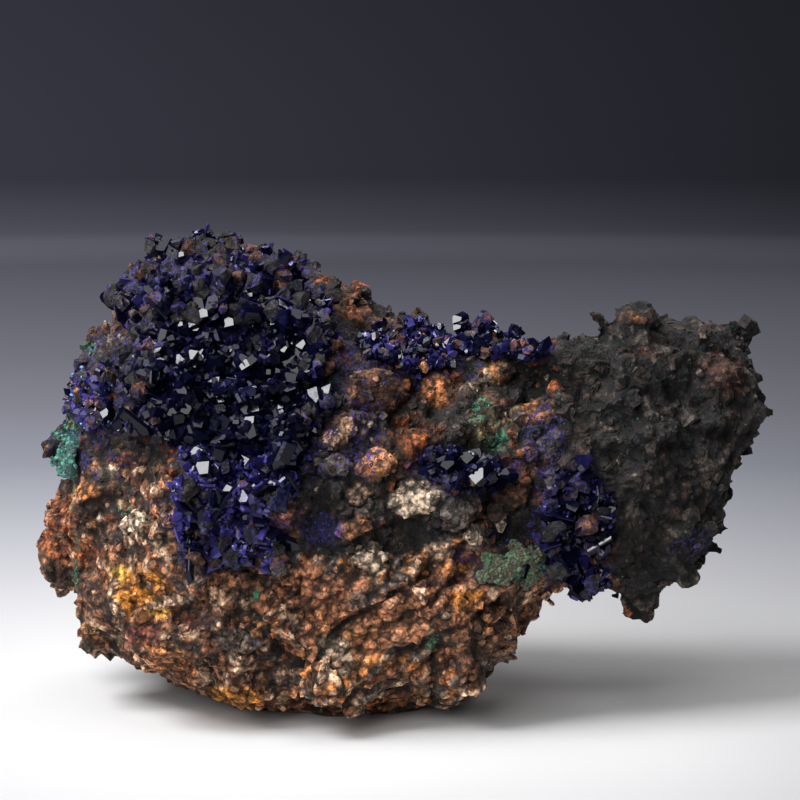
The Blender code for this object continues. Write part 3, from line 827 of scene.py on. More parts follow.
class Surface:
    """A mesh made ready for rays and for picking places on it."""

    def __init__(self, mesh: bpy.types.Mesh) -> None:
        """Reads the mesh.

        Args:
            mesh: The mesh, in metres.
        """
        mesh.calc_loop_triangles()
        self.points = np.empty(len(mesh.vertices) * 3)
        mesh.vertices.foreach_get("co", self.points)
        self.points = self.points.reshape(-1, 3)
        self.faces = np.empty(len(mesh.loop_triangles) * 3, np.int32)
        mesh.loop_triangles.foreach_get("vertices", self.faces)
        self.faces = self.faces.reshape(-1, 3)
        corners = self.points[self.faces]
        crossed = np.cross(corners[:, 1] - corners[:, 0], corners[:, 2] - corners[:, 0])
        self.areas = np.linalg.norm(crossed, axis=1) / 2
        self.normals = crossed / np.maximum(self.areas * 2, 1e-15)[:, None]
        self.centres = corners.mean(axis=1)
        self.tree = BVHTree.FromPolygons(
            [Vector(point) for point in self.points], self.faces.tolist(), all_triangles=True
        )

    def pick(
        self, chance: np.random.Generator, count: int, weights: np.ndarray | None = None
    ) -> tuple[np.ndarray, np.ndarray, np.ndarray]:
        """Picks random places.

        Args:
            chance: The random numbers.
            count: How many places.
            weights: How likely each face is for its area, or None where all are alike.

        Returns:
            The points, their normals and their faces' numbers.
        """
        shares = self.areas if weights is None else self.areas * weights
        chosen = chance.choice(len(shares), count, p=shares / shares.sum())
        first, second = np.sqrt(chance.random(count)), chance.random(count)
        weight = np.stack([1 - first, first * (1 - second), first * second], axis=1)
        points = (self.points[self.faces[chosen]] * weight[:, :, None]).sum(axis=1)
        return points, self.normals[chosen], chosen


class Gathering:
    """Copies of small closed shapes gathered into one mesh, each with values of its own."""

    def __init__(self) -> None:
        """Starts with nothing."""
        self.bm = bmesh.new()
        self.counts: list[int] = []
        self.values: list[Sequence[float]] = []

    def add(self, shape: bpy.types.Mesh, place: Matrix, value: Sequence[float]) -> None:
        """Adds a copy of a shape.

        Args:
            shape: The shape.
            place: Where it goes, with its size and turn.
            value: What is stored on its points.
        """
        copy = shape.copy()
        copy.transform(place)
        self.bm.from_mesh(copy)
        self.counts.append(len(copy.vertices))
        self.values.append(value)
        bpy.data.meshes.remove(copy)

    def finish(self, name: str, layers: Sequence[str]) -> bpy.types.Object:
        """Makes the object.

        Args:
            name: The object's name.
            layers: The names under which the values are stored; three values make a colour.

        Returns:
            The object, not yet dressed.
        """
        mesh = bpy.data.meshes.new(name)
        self.bm.to_mesh(mesh)
        self.bm.free()
        values = np.repeat(np.array(self.values, np.float32), self.counts, axis=0)
        store(mesh, layers, values)
        made = bpy.data.objects.new(name, mesh)
        bpy.context.scene.collection.objects.link(made)
        return made


def store(mesh: bpy.types.Mesh, layers: Sequence[str], values: np.ndarray) -> None:
    """Stores values on a mesh's points.

    Args:
        mesh: The mesh.
        layers: The names. The one called tone takes three columns, the others take one.
        values: One row per point.
    """
    column = 0
    for layer in layers:
        if layer == "tone":
            colours = np.ones((len(values), 4), np.float32)
            colours[:, :3] = values[:, column : column + 3]
            mesh.attributes.new(layer, "FLOAT_COLOR", "POINT").data.foreach_set("color", colours.ravel())
            column += 3
        else:
            mesh.attributes.new(layer, "FLOAT", "POINT").data.foreach_set("value", values[:, column].copy())
            column += 1


def merged_copy(node: bpy.types.Object, name: str) -> bpy.types.Mesh:
    """Copies a frame node's mesh with its loose triangles joined.

    Args:
        node: The frame node.
        name: The new mesh's name.

    Returns:
        The mesh.
    """
    bm = bmesh.new()
    bm.from_mesh(node.data)
    bmesh.ops.remove_doubles(bm, verts=bm.verts, dist=1e-6)
    bmesh.ops.recalc_face_normals(bm, faces=bm.faces)
    mesh = bpy.data.meshes.new(name)
    bm.to_mesh(mesh)
    bm.free()
    return mesh


def cut(bm: bmesh.types.BMesh, normal: Vector, reach: float) -> None:
    """Cuts off what lies past a plane and closes the cut.

    Args:
        bm: The closed shape.
        normal: The direction that the plane faces.
        reach: How far the plane is from the middle.
    """
    whole = [*bm.verts, *bm.edges, *bm.faces]
    made = bmesh.ops.bisect_plane(
        bm, geom=whole, plane_co=normal * reach, plane_no=normal, clear_outer=True
    )
    rim = [part for part in made["geom_cut"] if isinstance(part, bmesh.types.BMEdge)]
    if rim:
        bmesh.ops.edgeloop_fill(bm, edges=rim)


def finished_shape(bm: bmesh.types.BMesh, name: str) -> bpy.types.Mesh:
    """Turns a closed shape's faces outwards and makes it a mesh.

    Args:
        bm: The shape, which is freed.
        name: The mesh's name.

    Returns:
        The mesh.
    """
    bmesh.ops.recalc_face_normals(bm, faces=bm.faces)
    mesh = bpy.data.meshes.new(name)
    bm.to_mesh(mesh)
    bm.free()
    return mesh


class Habit(Enum):
    """How a crystal grows: its width, depth and length, how steep its end faces are, and where they lie.

    An end face's place is how far round it is, in degrees, and how much flatter than the first.
    """

    BLOCK = (1.0, 0.8, 1.6, 38.0, ((0, 0), (180, 8), (100, 14), (265, 18)))
    BLADE = (1.0, 0.28, 2.3, 38.0, ((0, 0), (180, 6), (95, 14)))
    TOOTH = (1.05, 0.95, 1.9, 27.0, ((0, 0), (122, 5), (238, 5)))


@dataclass(frozen=True)
class Gem:
    """A crystal shape, and the direction that its largest end face points in."""

    mesh: bpy.types.Mesh
    face: Vector


def gem(habit: Habit, chance: random.Random) -> Gem:
    """Builds a crystal: a prism with bevelled sides and a sloping end, standing on z = -1.

    Args:
        habit: How it grows.
        chance: The random numbers.

    Returns:
        The crystal.
    """
    wide, deep, long, slope, spread = habit.value
    bm = bmesh.new()
    bmesh.ops.create_cube(bm, size=1.0)
    bmesh.ops.scale(bm, vec=(wide, deep, long), verts=bm.verts)
    for quarter in range(4):
        angle = math.radians(45 + 90 * quarter + chance.uniform(-14, 14))
        side = Vector((math.cos(angle), math.sin(angle), 0.0))
        corner = abs(side.x) * wide / 2 + abs(side.y) * deep / 2
        cut(bm, side, corner * chance.uniform(0.72, 0.97))
    start = chance.uniform(0, 360)
    ends = []
    for turn, leans in spread:
        angle = math.radians(start + turn + chance.uniform(-14, 14))
        lift = math.radians(slope + leans + chance.uniform(-6, 6))
        flat = Vector((math.cos(angle), math.sin(angle), 0.0))
        end = flat * math.cos(lift) + Vector((0.0, 0.0, math.sin(lift)))
        ends.append(end)
        rise = long / 2 * math.sin(lift)
        cut(bm, end, rise * chance.uniform(0.72, 0.98))
    return Gem(finished_shape(bm, "gem"), ends[0])


def stone(chance: random.Random, cuts: int) -> bpy.types.Mesh:
    """Builds an angular stone about 2 across.

    Args:
        chance: The random numbers.
        cuts: How many pieces are broken off it.

    Returns:
        The stone.
    """
    bm = bmesh.new()
    bmesh.ops.create_cube(bm, size=2.0)
    for _ in range(cuts):
        side = Vector([chance.gauss(0, 1) for _ in range(3)]).normalized()
        cut(bm, side, chance.uniform(0.72, 1.05))
    return finished_shape(bm, "stone")


def turned_to(local: Vector, world: Vector, roll: float) -> Quaternion:
    """Gives the turn that points a shape's own direction a given way.

    Args:
        local: The shape's direction.
        world: Where it has to point.
        roll: How far the shape is turned about that direction.

    Returns:
        The turn.
    """
    return Quaternion(world, roll) @ local.rotation_difference(world)


class Lamp(Enum):
    """The lights: where each hangs, its size and its power."""

    KEY = (Vector((-0.66, -0.30, 0.92)), 0.55, 19.0)
    FRONT = (Vector((-0.42, -0.92, 0.62)), 0.8, 9.0)
    TOP = (Vector((0.05, 0.0, 1.10)), 0.9, 6.0)
    REAR = (Vector((0.55, 0.85, 0.65)), 0.5, 3.5)

    @property
    def spot(self) -> Vector:
        """Where the lamp hangs."""
        return self.value[0]


@dataclass(frozen=True)
class Glint:
    """A crystal with a face turned so that it mirrors a lamp into the camera."""

    across: float
    up: float
    wide: float
    lamp: Lamp


def glints(*rows: tuple[float, float, float, int]) -> tuple[Glint, ...]:
    """Lists glints from their place, width and 1 for the key lamp or 0 for the top lamp."""
    return tuple(Glint(a, u, w, Lamp.KEY if bright else Lamp.TOP) for a, u, w, bright in rows)


@dataclass(frozen=True)
class Lot:
    """A number of crystals of one kind, sown between two heights."""

    habit: Habit
    count: int
    widths: tuple[float, float]
    lengths: tuple[float, float]
    tints: tuple[float, float]
    low: float = -90.0
    high: float = 90.0


class Sowing:
    """Keeps crystals from being sown too close to each other."""

    def __init__(self, cell: float) -> None:
        """Starts with nothing sown.

        Args:
            cell: The largest room that a crystal takes, in metres.
        """
        self.cell = cell
        self.taken: dict[tuple[int, int, int], list[tuple[Vector, float]]] = {}

    def key(self, point: Vector) -> tuple[int, int, int]:
        """Gives the cell that a point is in."""
        return tuple(math.floor(value / self.cell) for value in point)

    def room(self, point: Vector, radius: float) -> bool:
        """Tells whether a crystal of this radius fits, and if so notes it.

        Args:
            point: Its middle.
            radius: The room that it takes.

        Returns:
            Whether it fits.
        """
        home = self.key(point)
        for x in (-1, 0, 1):
            for y in (-1, 0, 1):
                for z in (-1, 0, 1):
                    for other, reach in self.taken.get((home[0] + x, home[1] + y, home[2] + z), ()):
                        if (other - point).length < max(radius, reach * 0.8):
                            return False
        self.taken.setdefault(home, []).append((point, radius))
        return True


@dataclass
class RockBody:
    """The rock that everything grew on.

    The runs are how far apart the bumps of the fine and the broad noise lie, and lowest and
    highest are how far a point may move. The base stays flat up to sole. All in millimetres.
    """

    sight: Sight
    node: str = "rock_matrix"
    voxel: float = 0.85
    quick_voxel: float = 1.6
    softening: int = 4
    sharp_from: float = 0.38
    layer_run: tuple[float, float] = (0.80, 0.60)
    shy: float = 1.0
    block_rise: float = 0.8
    block_gap: float = 1.3
    crack_depth: float = 1.2
    waver_run: float = 3.2
    swell_run: float = 9.0
    lowest: float = -2.2
    highest: float = 1.3
    sole: float = 0.4
    patch_share: float = 0.82
    blue_share: float = 0.72
    green_share: float = 0.8
    surface: Surface | None = None
    tones: np.ndarray | None = None
    places: np.ndarray | None = None

    def build(self, nodes: dict[str, bpy.types.Object], material: bpy.types.Material) -> bpy.types.Object:
        """Builds the rock.

        Args:
            nodes: The frame's nodes.
            material: The rock's finish.

        Returns:
            The rock.
        """
        made = bpy.data.objects.new("rock_body", merged_copy(nodes[self.node], "rock_body"))
        bpy.context.scene.collection.objects.link(made)
        self.remesh(made)
        crusts = [Surface(node.data).tree for name, node in nodes.items() if name != self.node]
        self.shape(made.data, crusts)
        made.data.materials.append(material)
        self.sharpen(made.data)
        self.surface = Surface(made.data)
        return made

    def remesh(self, made: bpy.types.Object) -> None:
        """Gives the rock an even fine mesh with its hard facets softened.

        Args:
            made: The rock.
        """
        modifier = made.modifiers.new("even", "REMESH")
        modifier.mode = "VOXEL"
        modifier.voxel_size = self.voxel * MM
        graph = bpy.context.evaluated_depsgraph_get()
        even = bpy.data.meshes.new_from_object(made.evaluated_get(graph))
        made.modifiers.clear()
        bm = bmesh.new()
        bm.from_mesh(even)
        for _ in range(self.softening):
            bmesh.ops.smooth_vert(
                bm, verts=bm.verts, factor=0.5, use_axis_x=True, use_axis_y=True, use_axis_z=True
            )
        bm.to_mesh(even)
        bm.free()
        made.data = even

    def sharpen(self, mesh: bpy.types.Mesh) -> None:
        """Takes the spikes off the broken surface and makes its steep edges crisp.

        Args:
            mesh: The rock's mesh.
        """
        bm = bmesh.new()
        bm.from_mesh(mesh)
        low = [vert for vert in bm.verts if vert.co.z > 0.5 * MM]
        bmesh.ops.smooth_vert(bm, verts=low, factor=0.5, use_axis_x=True, use_axis_y=True, use_axis_z=True)
        for face in bm.faces:
            face.smooth = True
        for edge in bm.edges:
            edge.smooth = edge.calc_face_angle(0.0) < self.sharp_from
        bm.to_mesh(mesh)
        bm.free()

    def shape(self, mesh: bpy.types.Mesh, crusts: Sequence[BVHTree]) -> None:
        """Breaks the surface into chips and colours it, with painted shade in the gaps, round the held
        stones and in the cracks, and painted light on its raised points.

        Args:
            mesh: The even mesh.
            crusts: The crusts that the rock stays under.
        """
        count = len(mesh.vertices)
        points, normals = np.empty(count * 3), np.empty(count * 3)
        mesh.vertices.foreach_get("co", points)
        mesh.vertices.foreach_get("normal", normals)
        points, normals = points.reshape(-1, 3), normals.reshape(-1, 3)
        self.places = self.sight.places(points)
        run = (Vector((1, 0, 0)) * self.layer_run[0] + self.sight.upward * self.layer_run[1]).normalized()
        heights, tones = np.empty(count), np.empty((count, 3))
        waver = np.array([noise.noise(Vector(point) / (self.waver_run * MM)) for point in points])
        facing = smooth(-0.25, 0.15, -(normals @ np.array(self.sight.forward)))
        calm, moat, stone_tones = self.stones(waver, facing)
        for index in range(count):
            spot = Vector(points[index]) / MM
            broad = noise.noise(spot / self.swell_run)
            region = region_at(*self.places[index], broad)
            high, deep, number = region.coarse.at(spot, run)
            rise, fine_gap_shade, small = region.fine.at(spot, run)
            still = 1 - 0.65 * calm[index]
            heights[index] = still * (high + 0.8 * broad) + 0.75 * rise + 0.3 * waver[index]
            base = np.array(region.tone(number if small < 0.55 else small).value)
            base = base * (1 - calm[index]) + stone_tones[index] * calm[index]
            # Painted shade: the colour is darkened in the gaps between the coarse and the fine chips; the
            # region's lightness and the random tone per chip are the rock's own.
            shade = region.light * (1 - 0.75 * deep * still) * (1 - 0.55 * fine_gap_shade) * (0.72 + 0.56 * small)
            # Painted light and shade: points raised by the relief are painted lighter and sunk ones darker.
            height = min(max(0.95 + 0.42 * heights[index], 0.4), 1.6)
            # Painted shade: the sunk gap round each held stone is darkened; the waver is a random tone of
            # the rock.
            tones[index] = base * shade * (1 - 0.88 * moat[index]) * (1 + 0.4 * waver[index]) * height
        near = self.nearness(points, crusts)
        split = np.max([crack.depth(self.places, waver) for crack in CRACKS], axis=0) * facing
        # Painted shade: the rock's colour is darkened along the cracks.
        tones = tones * (1 - 0.85 * split[:, None])
        heights = heights + self.block_rise * calm - self.block_gap * moat - self.crack_depth * split
        heights = np.clip(heights, self.lowest, self.highest) * (1 - 0.8 * near) - 0.5 * near
        heights = np.where(points[:, 2] < self.sole * MM, 0.0, heights)
        moved = points + normals * heights[:, None] * MM
        moved[:, 2] = np.maximum(moved[:, 2], 0.0)
        mesh.vertices.foreach_set("co", moved.ravel())
        self.paint(mesh, facing, tones, waver, near, split)

    def stones(self, waver: np.ndarray, facing: np.ndarray) -> tuple[np.ndarray, np.ndarray, np.ndarray]:
        """Tells where the stones held in the rock are.

        Args:
            waver: One number per point, which makes their borders irregular.
            facing: How far each point faces the camera.

        Returns:
            How far each point is on a stone, how far it is in the gap round one, and the
            colour of its stone.
        """
        calm, moat = np.zeros(len(waver)), np.zeros(len(waver))
        tones = np.zeros((len(waver), 3))
        for block in BLOCKS:
            reach = block.reach(self.places, waver)
            inside = smooth(1.0, 0.86, reach) * facing
            ring = smooth(0.9, 1.02, reach) * smooth(1.24, 1.08, reach) * facing
            tones = np.where((inside > calm)[:, None], np.array(block.swatch.value), tones)
            moat = np.maximum(moat * (1 - inside), ring * (1 - calm))
            calm = np.maximum(calm, inside)
        return calm, moat, tones

    def nearness(self, points: np.ndarray, crusts: Sequence[BVHTree]) -> np.ndarray:
        """Tells how close each point is to a crust.

        Args:
            points: The points, in metres.
            crusts: The crusts.

        Returns:
            1 under a crust, falling to 0 a little beside it.
        """
        reach = 3 * self.shy * MM
        near = np.zeros(len(points))
        for index, point in enumerate(points):
            for crust in crusts:
                found = crust.find_nearest(Vector(point), reach)
                if found[0] is not None:
                    near[index] = max(near[index], float(smooth(reach, self.shy * MM, found[3])))
        return near

    def paint(
        self,
        mesh: bpy.types.Mesh,
        facing: np.ndarray,
        tones: np.ndarray,
        waver: np.ndarray,
        near: np.ndarray,
        split: np.ndarray,
    ) -> None:
        """Lays the patches of colour and the blue and green grains over the chips, and adds painted shade
        beside the crusts and in the cracks.

        Args:
            mesh: The rock's mesh.
            facing: How far each point faces the camera.
            tones: The colour of the chip at each point.
            waver: A number per point that makes borders irregular.
            near: How close each point is to a crust.
            split: How deep in a crack each point is.
        """
        # Each patch is scaled by how light the chip colour under it is, so it keeps the chips' painted
        # shade and painted light.
        shade = np.clip(tones.mean(axis=1) / max(float(tones.mean()), 1e-6), 0.3, 1.5)[:, None]
        for patch in PATCHES:
            share = (patch.share(self.places, waver) * facing * self.patch_share)[:, None]
            tones = tones * (1 - share) + np.array(patch.swatch.value) * shade * share
        blue, green = 0.55 * near, np.zeros(len(near))
        for shape in BLUE_PLACES:
            stain = oval(self.places, shape, 0.0, waver * 2) * facing * self.blue_share
            blue = np.maximum(blue, stain)
        for shape in GREEN_PLACES:
            stain = oval(self.places, shape, 0.0, waver * 1.5) * facing * self.green_share
            green = np.maximum(green, stain)
        # Painted shade: the rock is darkened beside and under the crusts, and darkened again in the cracks.
        tones = tones * (1 - 0.5 * near[:, None]) * (1 - 0.6 * split[:, None])
        self.tones = np.concatenate([tones, blue[:, None], green[:, None]], axis=1)
        store(mesh, ("tone", "azurite", "malachite"), self.tones)


@dataclass
class RockGrains:
    """Loose-looking stones and sand that are grown fast to the rock.

    A grain's colour is its own and the rock's round it, painted shade included, in the shares own and
    borrowed.
    """

    name: str
    count: int
    sizes: tuple[float, float]
    sunk: tuple[float, float]
    bare: dict[Region, float]
    seed: int
    kinds: int = 14
    pale: float = 0.05
    own: float = 0.55
    borrowed: float = 0.65
    floor_gap: float = 2.5

    def build(self, rock: RockBody, material: bpy.types.Material) -> bpy.types.Object:
        """Builds the grains.

        Args:
            rock: The rock that they lie on.
            material: The rock's finish.

        Returns:
            The grains as one object.
        """
        chance, dice = np.random.default_rng(self.seed), random.Random(self.seed)
        shapes = [stone(dice, 5) for _ in range(self.kinds)]
        surface, grains = rock.surface, Gathering()
        points, normals, faces = surface.pick(chance, self.count)
        places = rock.sight.places(points)
        for point, normal, place, face in zip(points, normals, places, faces):
            region = region_at(*place, 0.0)
            if point[2] < self.floor_gap * MM or dice.random() < self.bare.get(region, 0.0):
                continue
            corner = surface.faces[face][0]
            around = rock.tones[corner]
            pale = region is not Region.LOBE and dice.random() < self.pale
            swatch = Swatch.CREAM if pale else region.tone(dice.random())
            tone = np.array(swatch.value) * dice.uniform(0.6, 1.35) * self.own
            tone = tone + around[:3] * self.borrowed
            size = self.sizes[0] + (self.sizes[1] - self.sizes[0]) * dice.random() ** 2.6
            turn = Quaternion([dice.gauss(0, 1) for _ in range(4)]).normalized()
            scale = Matrix.Diagonal((size, size * dice.uniform(0.6, 1), size * dice.uniform(0.6, 1), 1))
            lift = Vector(point) + Vector(normal) * size * -dice.uniform(*self.sunk) * MM
            lift.z = max(lift.z, (size + 0.2) * MM)
            matrix = Matrix.Translation(lift) @ turn.to_matrix().to_4x4() @ scale @ Matrix.Scale(MM, 4)
            grains.add(dice.choice(shapes), matrix, (*tone, around[3] * 0.9, around[4] * 0.9))
        made = grains.finish(self.name, ("tone", "azurite", "malachite"))
        made.data.materials.append(material)
        return made


GRAINS = (
    RockGrains(
        "rock_grains", 6400, (0.28, 1.1), (0.0, 0.5), {Region.LOBE: 0.25, Region.LAYERS: 0.4}, 5
    ),
    RockGrains("rock_chips", 1500, (0.8, 1.9), (0.2, 0.7), {Region.LOBE: 0.3, Region.LAYERS: 0.6}, 6),
)


@dataclass
class CrustStones:
    """Stones that the crystals of a crust have grown round."""

    node: str
    name: str
    count: int
    sizes: tuple[float, float]
    seed: int
    swatches: tuple[Swatch, ...]
    weigh: Callable[[np.ndarray], np.ndarray] | None = None
    kinds: int = 10

    def build(
        self, nodes: dict[str, bpy.types.Object], sight: Sight, material: bpy.types.Material
    ) -> bpy.types.Object:
        """Builds the stones.

        Args:
            nodes: The frame's nodes.
            sight: The camera's line of sight.
            material: The rock's finish.

        Returns:
            The stones as one object.
        """
        chance, dice = np.random.default_rng(self.seed), random.Random(self.seed)
        shapes = [stone(dice, 8) for _ in range(self.kinds)]
        surface, stones = Surface(nodes[self.node].data), Gathering()
        weights = self.weigh(sight.places(surface.centres)) if self.weigh else None
        for point, normal, _ in zip(*surface.pick(chance, self.count, weights)):
            size = self.sizes[0] + (self.sizes[1] - self.sizes[0]) * dice.random() ** 1.6
            tone = np.array(dice.choice(self.swatches).value) * dice.uniform(0.5, 1.1)
            turn = Quaternion([dice.gauss(0, 1) for _ in range(4)]).normalized()
            scale = Matrix.Diagonal((size, size * dice.uniform(0.6, 1), size * dice.uniform(0.6, 1), 1))
            spot = Matrix.Translation(Vector(point) + Vector(normal) * size * 0.2 * MM)
            matrix = spot @ turn.to_matrix().to_4x4() @ scale @ Matrix.Scale(MM, 4)
            stones.add(dice.choice(shapes), matrix, (*tone, dice.uniform(0.2, 0.9), 0.0))
        made = stones.finish(self.name, ("tone", "azurite", "malachite"))
        made.data.materials.append(material)
        return made


def druse_rim(places: np.ndarray) -> np.ndarray:
    """Gives how likely a stone is at each place of the druse: along its top and sides.

    Args:
        places: The places, across and up, in millimetres.

    Returns:
        The share at each place, 0 to 1.
    """
    across, up = places[:, 0], places[:, 1]
    top = smooth(14, 22, up) * smooth(-60, -52, across)
    left = smooth(-49, -55, across) * 0.8
    right = smooth(-24, -18, across) * 0.7
    low = smooth(-10, -24, up) * 0.8
    elsewhere = np.full(len(up), 0.012)
    return np.maximum.reduce([top, left, right, low, elsewhere])


DARK_STONES = (
    Swatch.SLATE, Swatch.DARK, Swatch.UMBER, Swatch.SLATE, Swatch.GREY, Swatch.BROWN, Swatch.DARK,
)
BROWN_STONES = (Swatch.BROWN, Swatch.TAN, Swatch.RUST, Swatch.UMBER, Swatch.GREY)

STONES = (
    CrustStones("azurite_druse", "druse_stones", 640, (0.6, 2.2), 21, DARK_STONES, druse_rim),
    CrustStones("azurite_left_grains", "left_stones", 60, (0.6, 1.7), 22, BROWN_STONES),
    CrustStones("azurite_crest", "crest_stones", 40, (0.7, 1.9), 23, BROWN_STONES),
    CrustStones("azurite_upper_patch", "upper_stones", 60, (0.5, 1.4), 24, BROWN_STONES),
    CrustStones("azurite_centre_seam", "seam_stones", 22, (0.6, 1.5), 25, DARK_STONES),
    CrustStones("azurite_blades", "blade_stones", 46, (0.8, 2.2), 26, DARK_STONES),
)


@dataclass
class CrystalCrust:
    """One crust of azurite crystals, grown on the frame's crust."""

    node: str
    lots: tuple[Lot, ...]
    glints: tuple[Glint, ...] = ()
    lean: float = 0.55
    bed_tint: float = 0.15
    crowding: float = 0.62
    seed: int = 1

    def build(
        self, nodes: dict[str, bpy.types.Object], rock: RockBody, material: bpy.types.Material
    ) -> bpy.types.Object:
        """Builds the crust.

        Args:
            nodes: The frame's nodes.
            rock: The rock that it grows on.
            material: The crystals' finish.

        Returns:
            The crust.
        """
        chance, dice = np.random.default_rng(self.seed), random.Random(self.seed)
        bed = merged_copy(nodes[self.node], self.node + "_bed")
        surface = Surface(bed)
        crystals, sowing = Gathering(), Sowing(6 * MM)
        crystals.add(bed, Matrix.Identity(4), (self.bed_tint,))
        stock = {habit: [gem(habit, dice) for _ in range(9)] for habit in Habit}
        for glint in self.glints:
            self.place_glint(glint, stock[Habit.TOOTH], surface, rock.sight, crystals, sowing)
        for lot in self.lots:
            self.sow(lot, stock[lot.habit], surface, rock, (chance, dice), crystals, sowing)
        bpy.data.meshes.remove(bed)
        made = crystals.finish(self.node + "_crystals", ("tint",))
        made.data.materials.append(material)
        return made

    def place_glint(
        self,
        glint: Glint,
        gems: Sequence[Gem],
        surface: Surface,
        sight: Sight,
        crystals: Gathering,
        sowing: Sowing,
    ) -> None:
        """Adds a crystal whose end face mirrors a lamp into the camera.

        Args:
            glint: The crystal's place, width and lamp.
            gems: The shapes to choose from.
            surface: The crust's bed.
            sight: The camera's line of sight.
            crystals: Where it is added.
            sowing: What is already sown.
        """
        hit, normal, _, _ = surface.tree.ray_cast(sight.eye, sight.ray(glint.across, glint.up))
        if hit is None:
            hit, normal, _, _ = surface.tree.find_nearest(
                sight.eye + sight.ray(glint.across, glint.up) * sight.distance
            )
        to_eye = (sight.eye - hit).normalized()
        half = (to_eye + (glint.lamp.spot - hit).normalized()).normalized()
        choices = [
            (turned_to(shape.face, half, roll), shape)
            for shape in gems
            for roll in (0.0, 1.05, 2.1, 3.14, 4.19, 5.24)
        ]
        outward = (normal + to_eye).normalized()
        turn, shape = max(choices, key=lambda pair: (pair[0] @ Vector((0, 0, 1))).dot(outward))
        size = glint.wide * MM * 0.88
        middle = hit + to_eye * size * 0.35
        sowing.room(middle, size * 0.75)
        crystals.add(
            shape.mesh,
            Matrix.Translation(middle) @ turn.to_matrix().to_4x4() @ Matrix.Scale(size, 4),
            (0.1,),
        )

    def sow(
        self,
        lot: Lot,
        gems: Sequence[Gem],
        surface: Surface,
        rock: RockBody,
        chances: tuple[np.random.Generator, random.Random],
        crystals: Gathering,
        sowing: Sowing,
    ) -> None:
        """Sows one lot of crystals over the crust's open side.

        Args:
            lot: The lot.
            gems: The shapes to choose from.
            surface: The crust's bed.
            rock: The rock under it.
            chances: The random numbers.
            crystals: Where they are added.
            sowing: What is already sown.
        """
        chance, dice = chances
        places = rock.sight.places(surface.centres)
        inside = ((places[:, 1] > lot.low) & (places[:, 1] < lot.high)).astype(float)
        if not inside.any():
            return
        points, normals, _ = surface.pick(chance, lot.count * 6, inside)
        grown = 0
        for point, normal in zip(points, normals):
            if grown == lot.count:
                break
            spot, out = Vector(point), Vector(normal)
            if rock.surface.tree.ray_cast(spot + out * 0.2 * MM, out, 1.6 * MM)[0] is not None:
                continue
            size = lot.widths[0] + (lot.widths[1] - lot.widths[0]) * dice.random() ** 1.8
            if not sowing.room(spot, size * self.crowding * MM):
                continue
            aim = (out + Vector([dice.gauss(0, 1) for _ in range(3)]) * self.lean).normalized()
            turn = turned_to(Vector((0, 0, 1)), aim, dice.uniform(0, math.tau))
            slim = dice.uniform(*lot.lengths)
            scale = Matrix.Diagonal((size, size, size * slim, 1))
            middle = spot + aim * size * slim * 0.12 * MM
            matrix = Matrix.Translation(middle) @ turn.to_matrix().to_4x4() @ scale @ Matrix.Scale(MM, 4)
            crystals.add(dice.choice(gems).mesh, matrix, (dice.uniform(*lot.tints),))
            grown += 1


@dataclass
class MalachiteTuft:
    """A green crust of small rounded tufts."""

    node: str
    count: int
    finish: MalachiteFinish
    sizes: tuple[float, float] = (0.2, 0.5)
    seed: int = 9

    def build(self, nodes: dict[str, bpy.types.Object]) -> bpy.types.Object:
        """Builds the crust.

        Args:
            nodes: The frame's nodes.

        Returns:
            The crust.
        """
        chance, dice = np.random.default_rng(self.seed), random.Random(self.seed)
        bed = merged_copy(nodes[self.node], self.node + "_bed")
        surface, tufts = Surface(bed), Gathering()
        tufts.add(bed, Matrix.Identity(4), (0.1,))
        bm = bmesh.new()
        bmesh.ops.create_icosphere(bm, subdivisions=2, radius=1.0)
        ball = finished_shape(bm, "ball")
        for point, normal, _ in zip(*surface.pick(chance, self.count)):
            size = dice.uniform(*self.sizes)
            spread = Matrix.Diagonal((size, size * dice.uniform(0.7, 1), size * dice.uniform(0.7, 1.2), 1))
            turn = turned_to(Vector((0, 0, 1)), Vector(normal), dice.uniform(0, math.tau))
            matrix = Matrix.Translation(point) @ turn.to_matrix().to_4x4() @ spread @ Matrix.Scale(MM, 4)
            tufts.add(ball, matrix, (dice.random(),))
        bpy.data.meshes.remove(bed)
        made = tufts.finish(self.node + "_tufts", ("tint",))
        made.data.polygons.foreach_set("use_smooth", [True] * len(made.data.polygons))
        made.data.materials.append(self.finish.build())
        return made


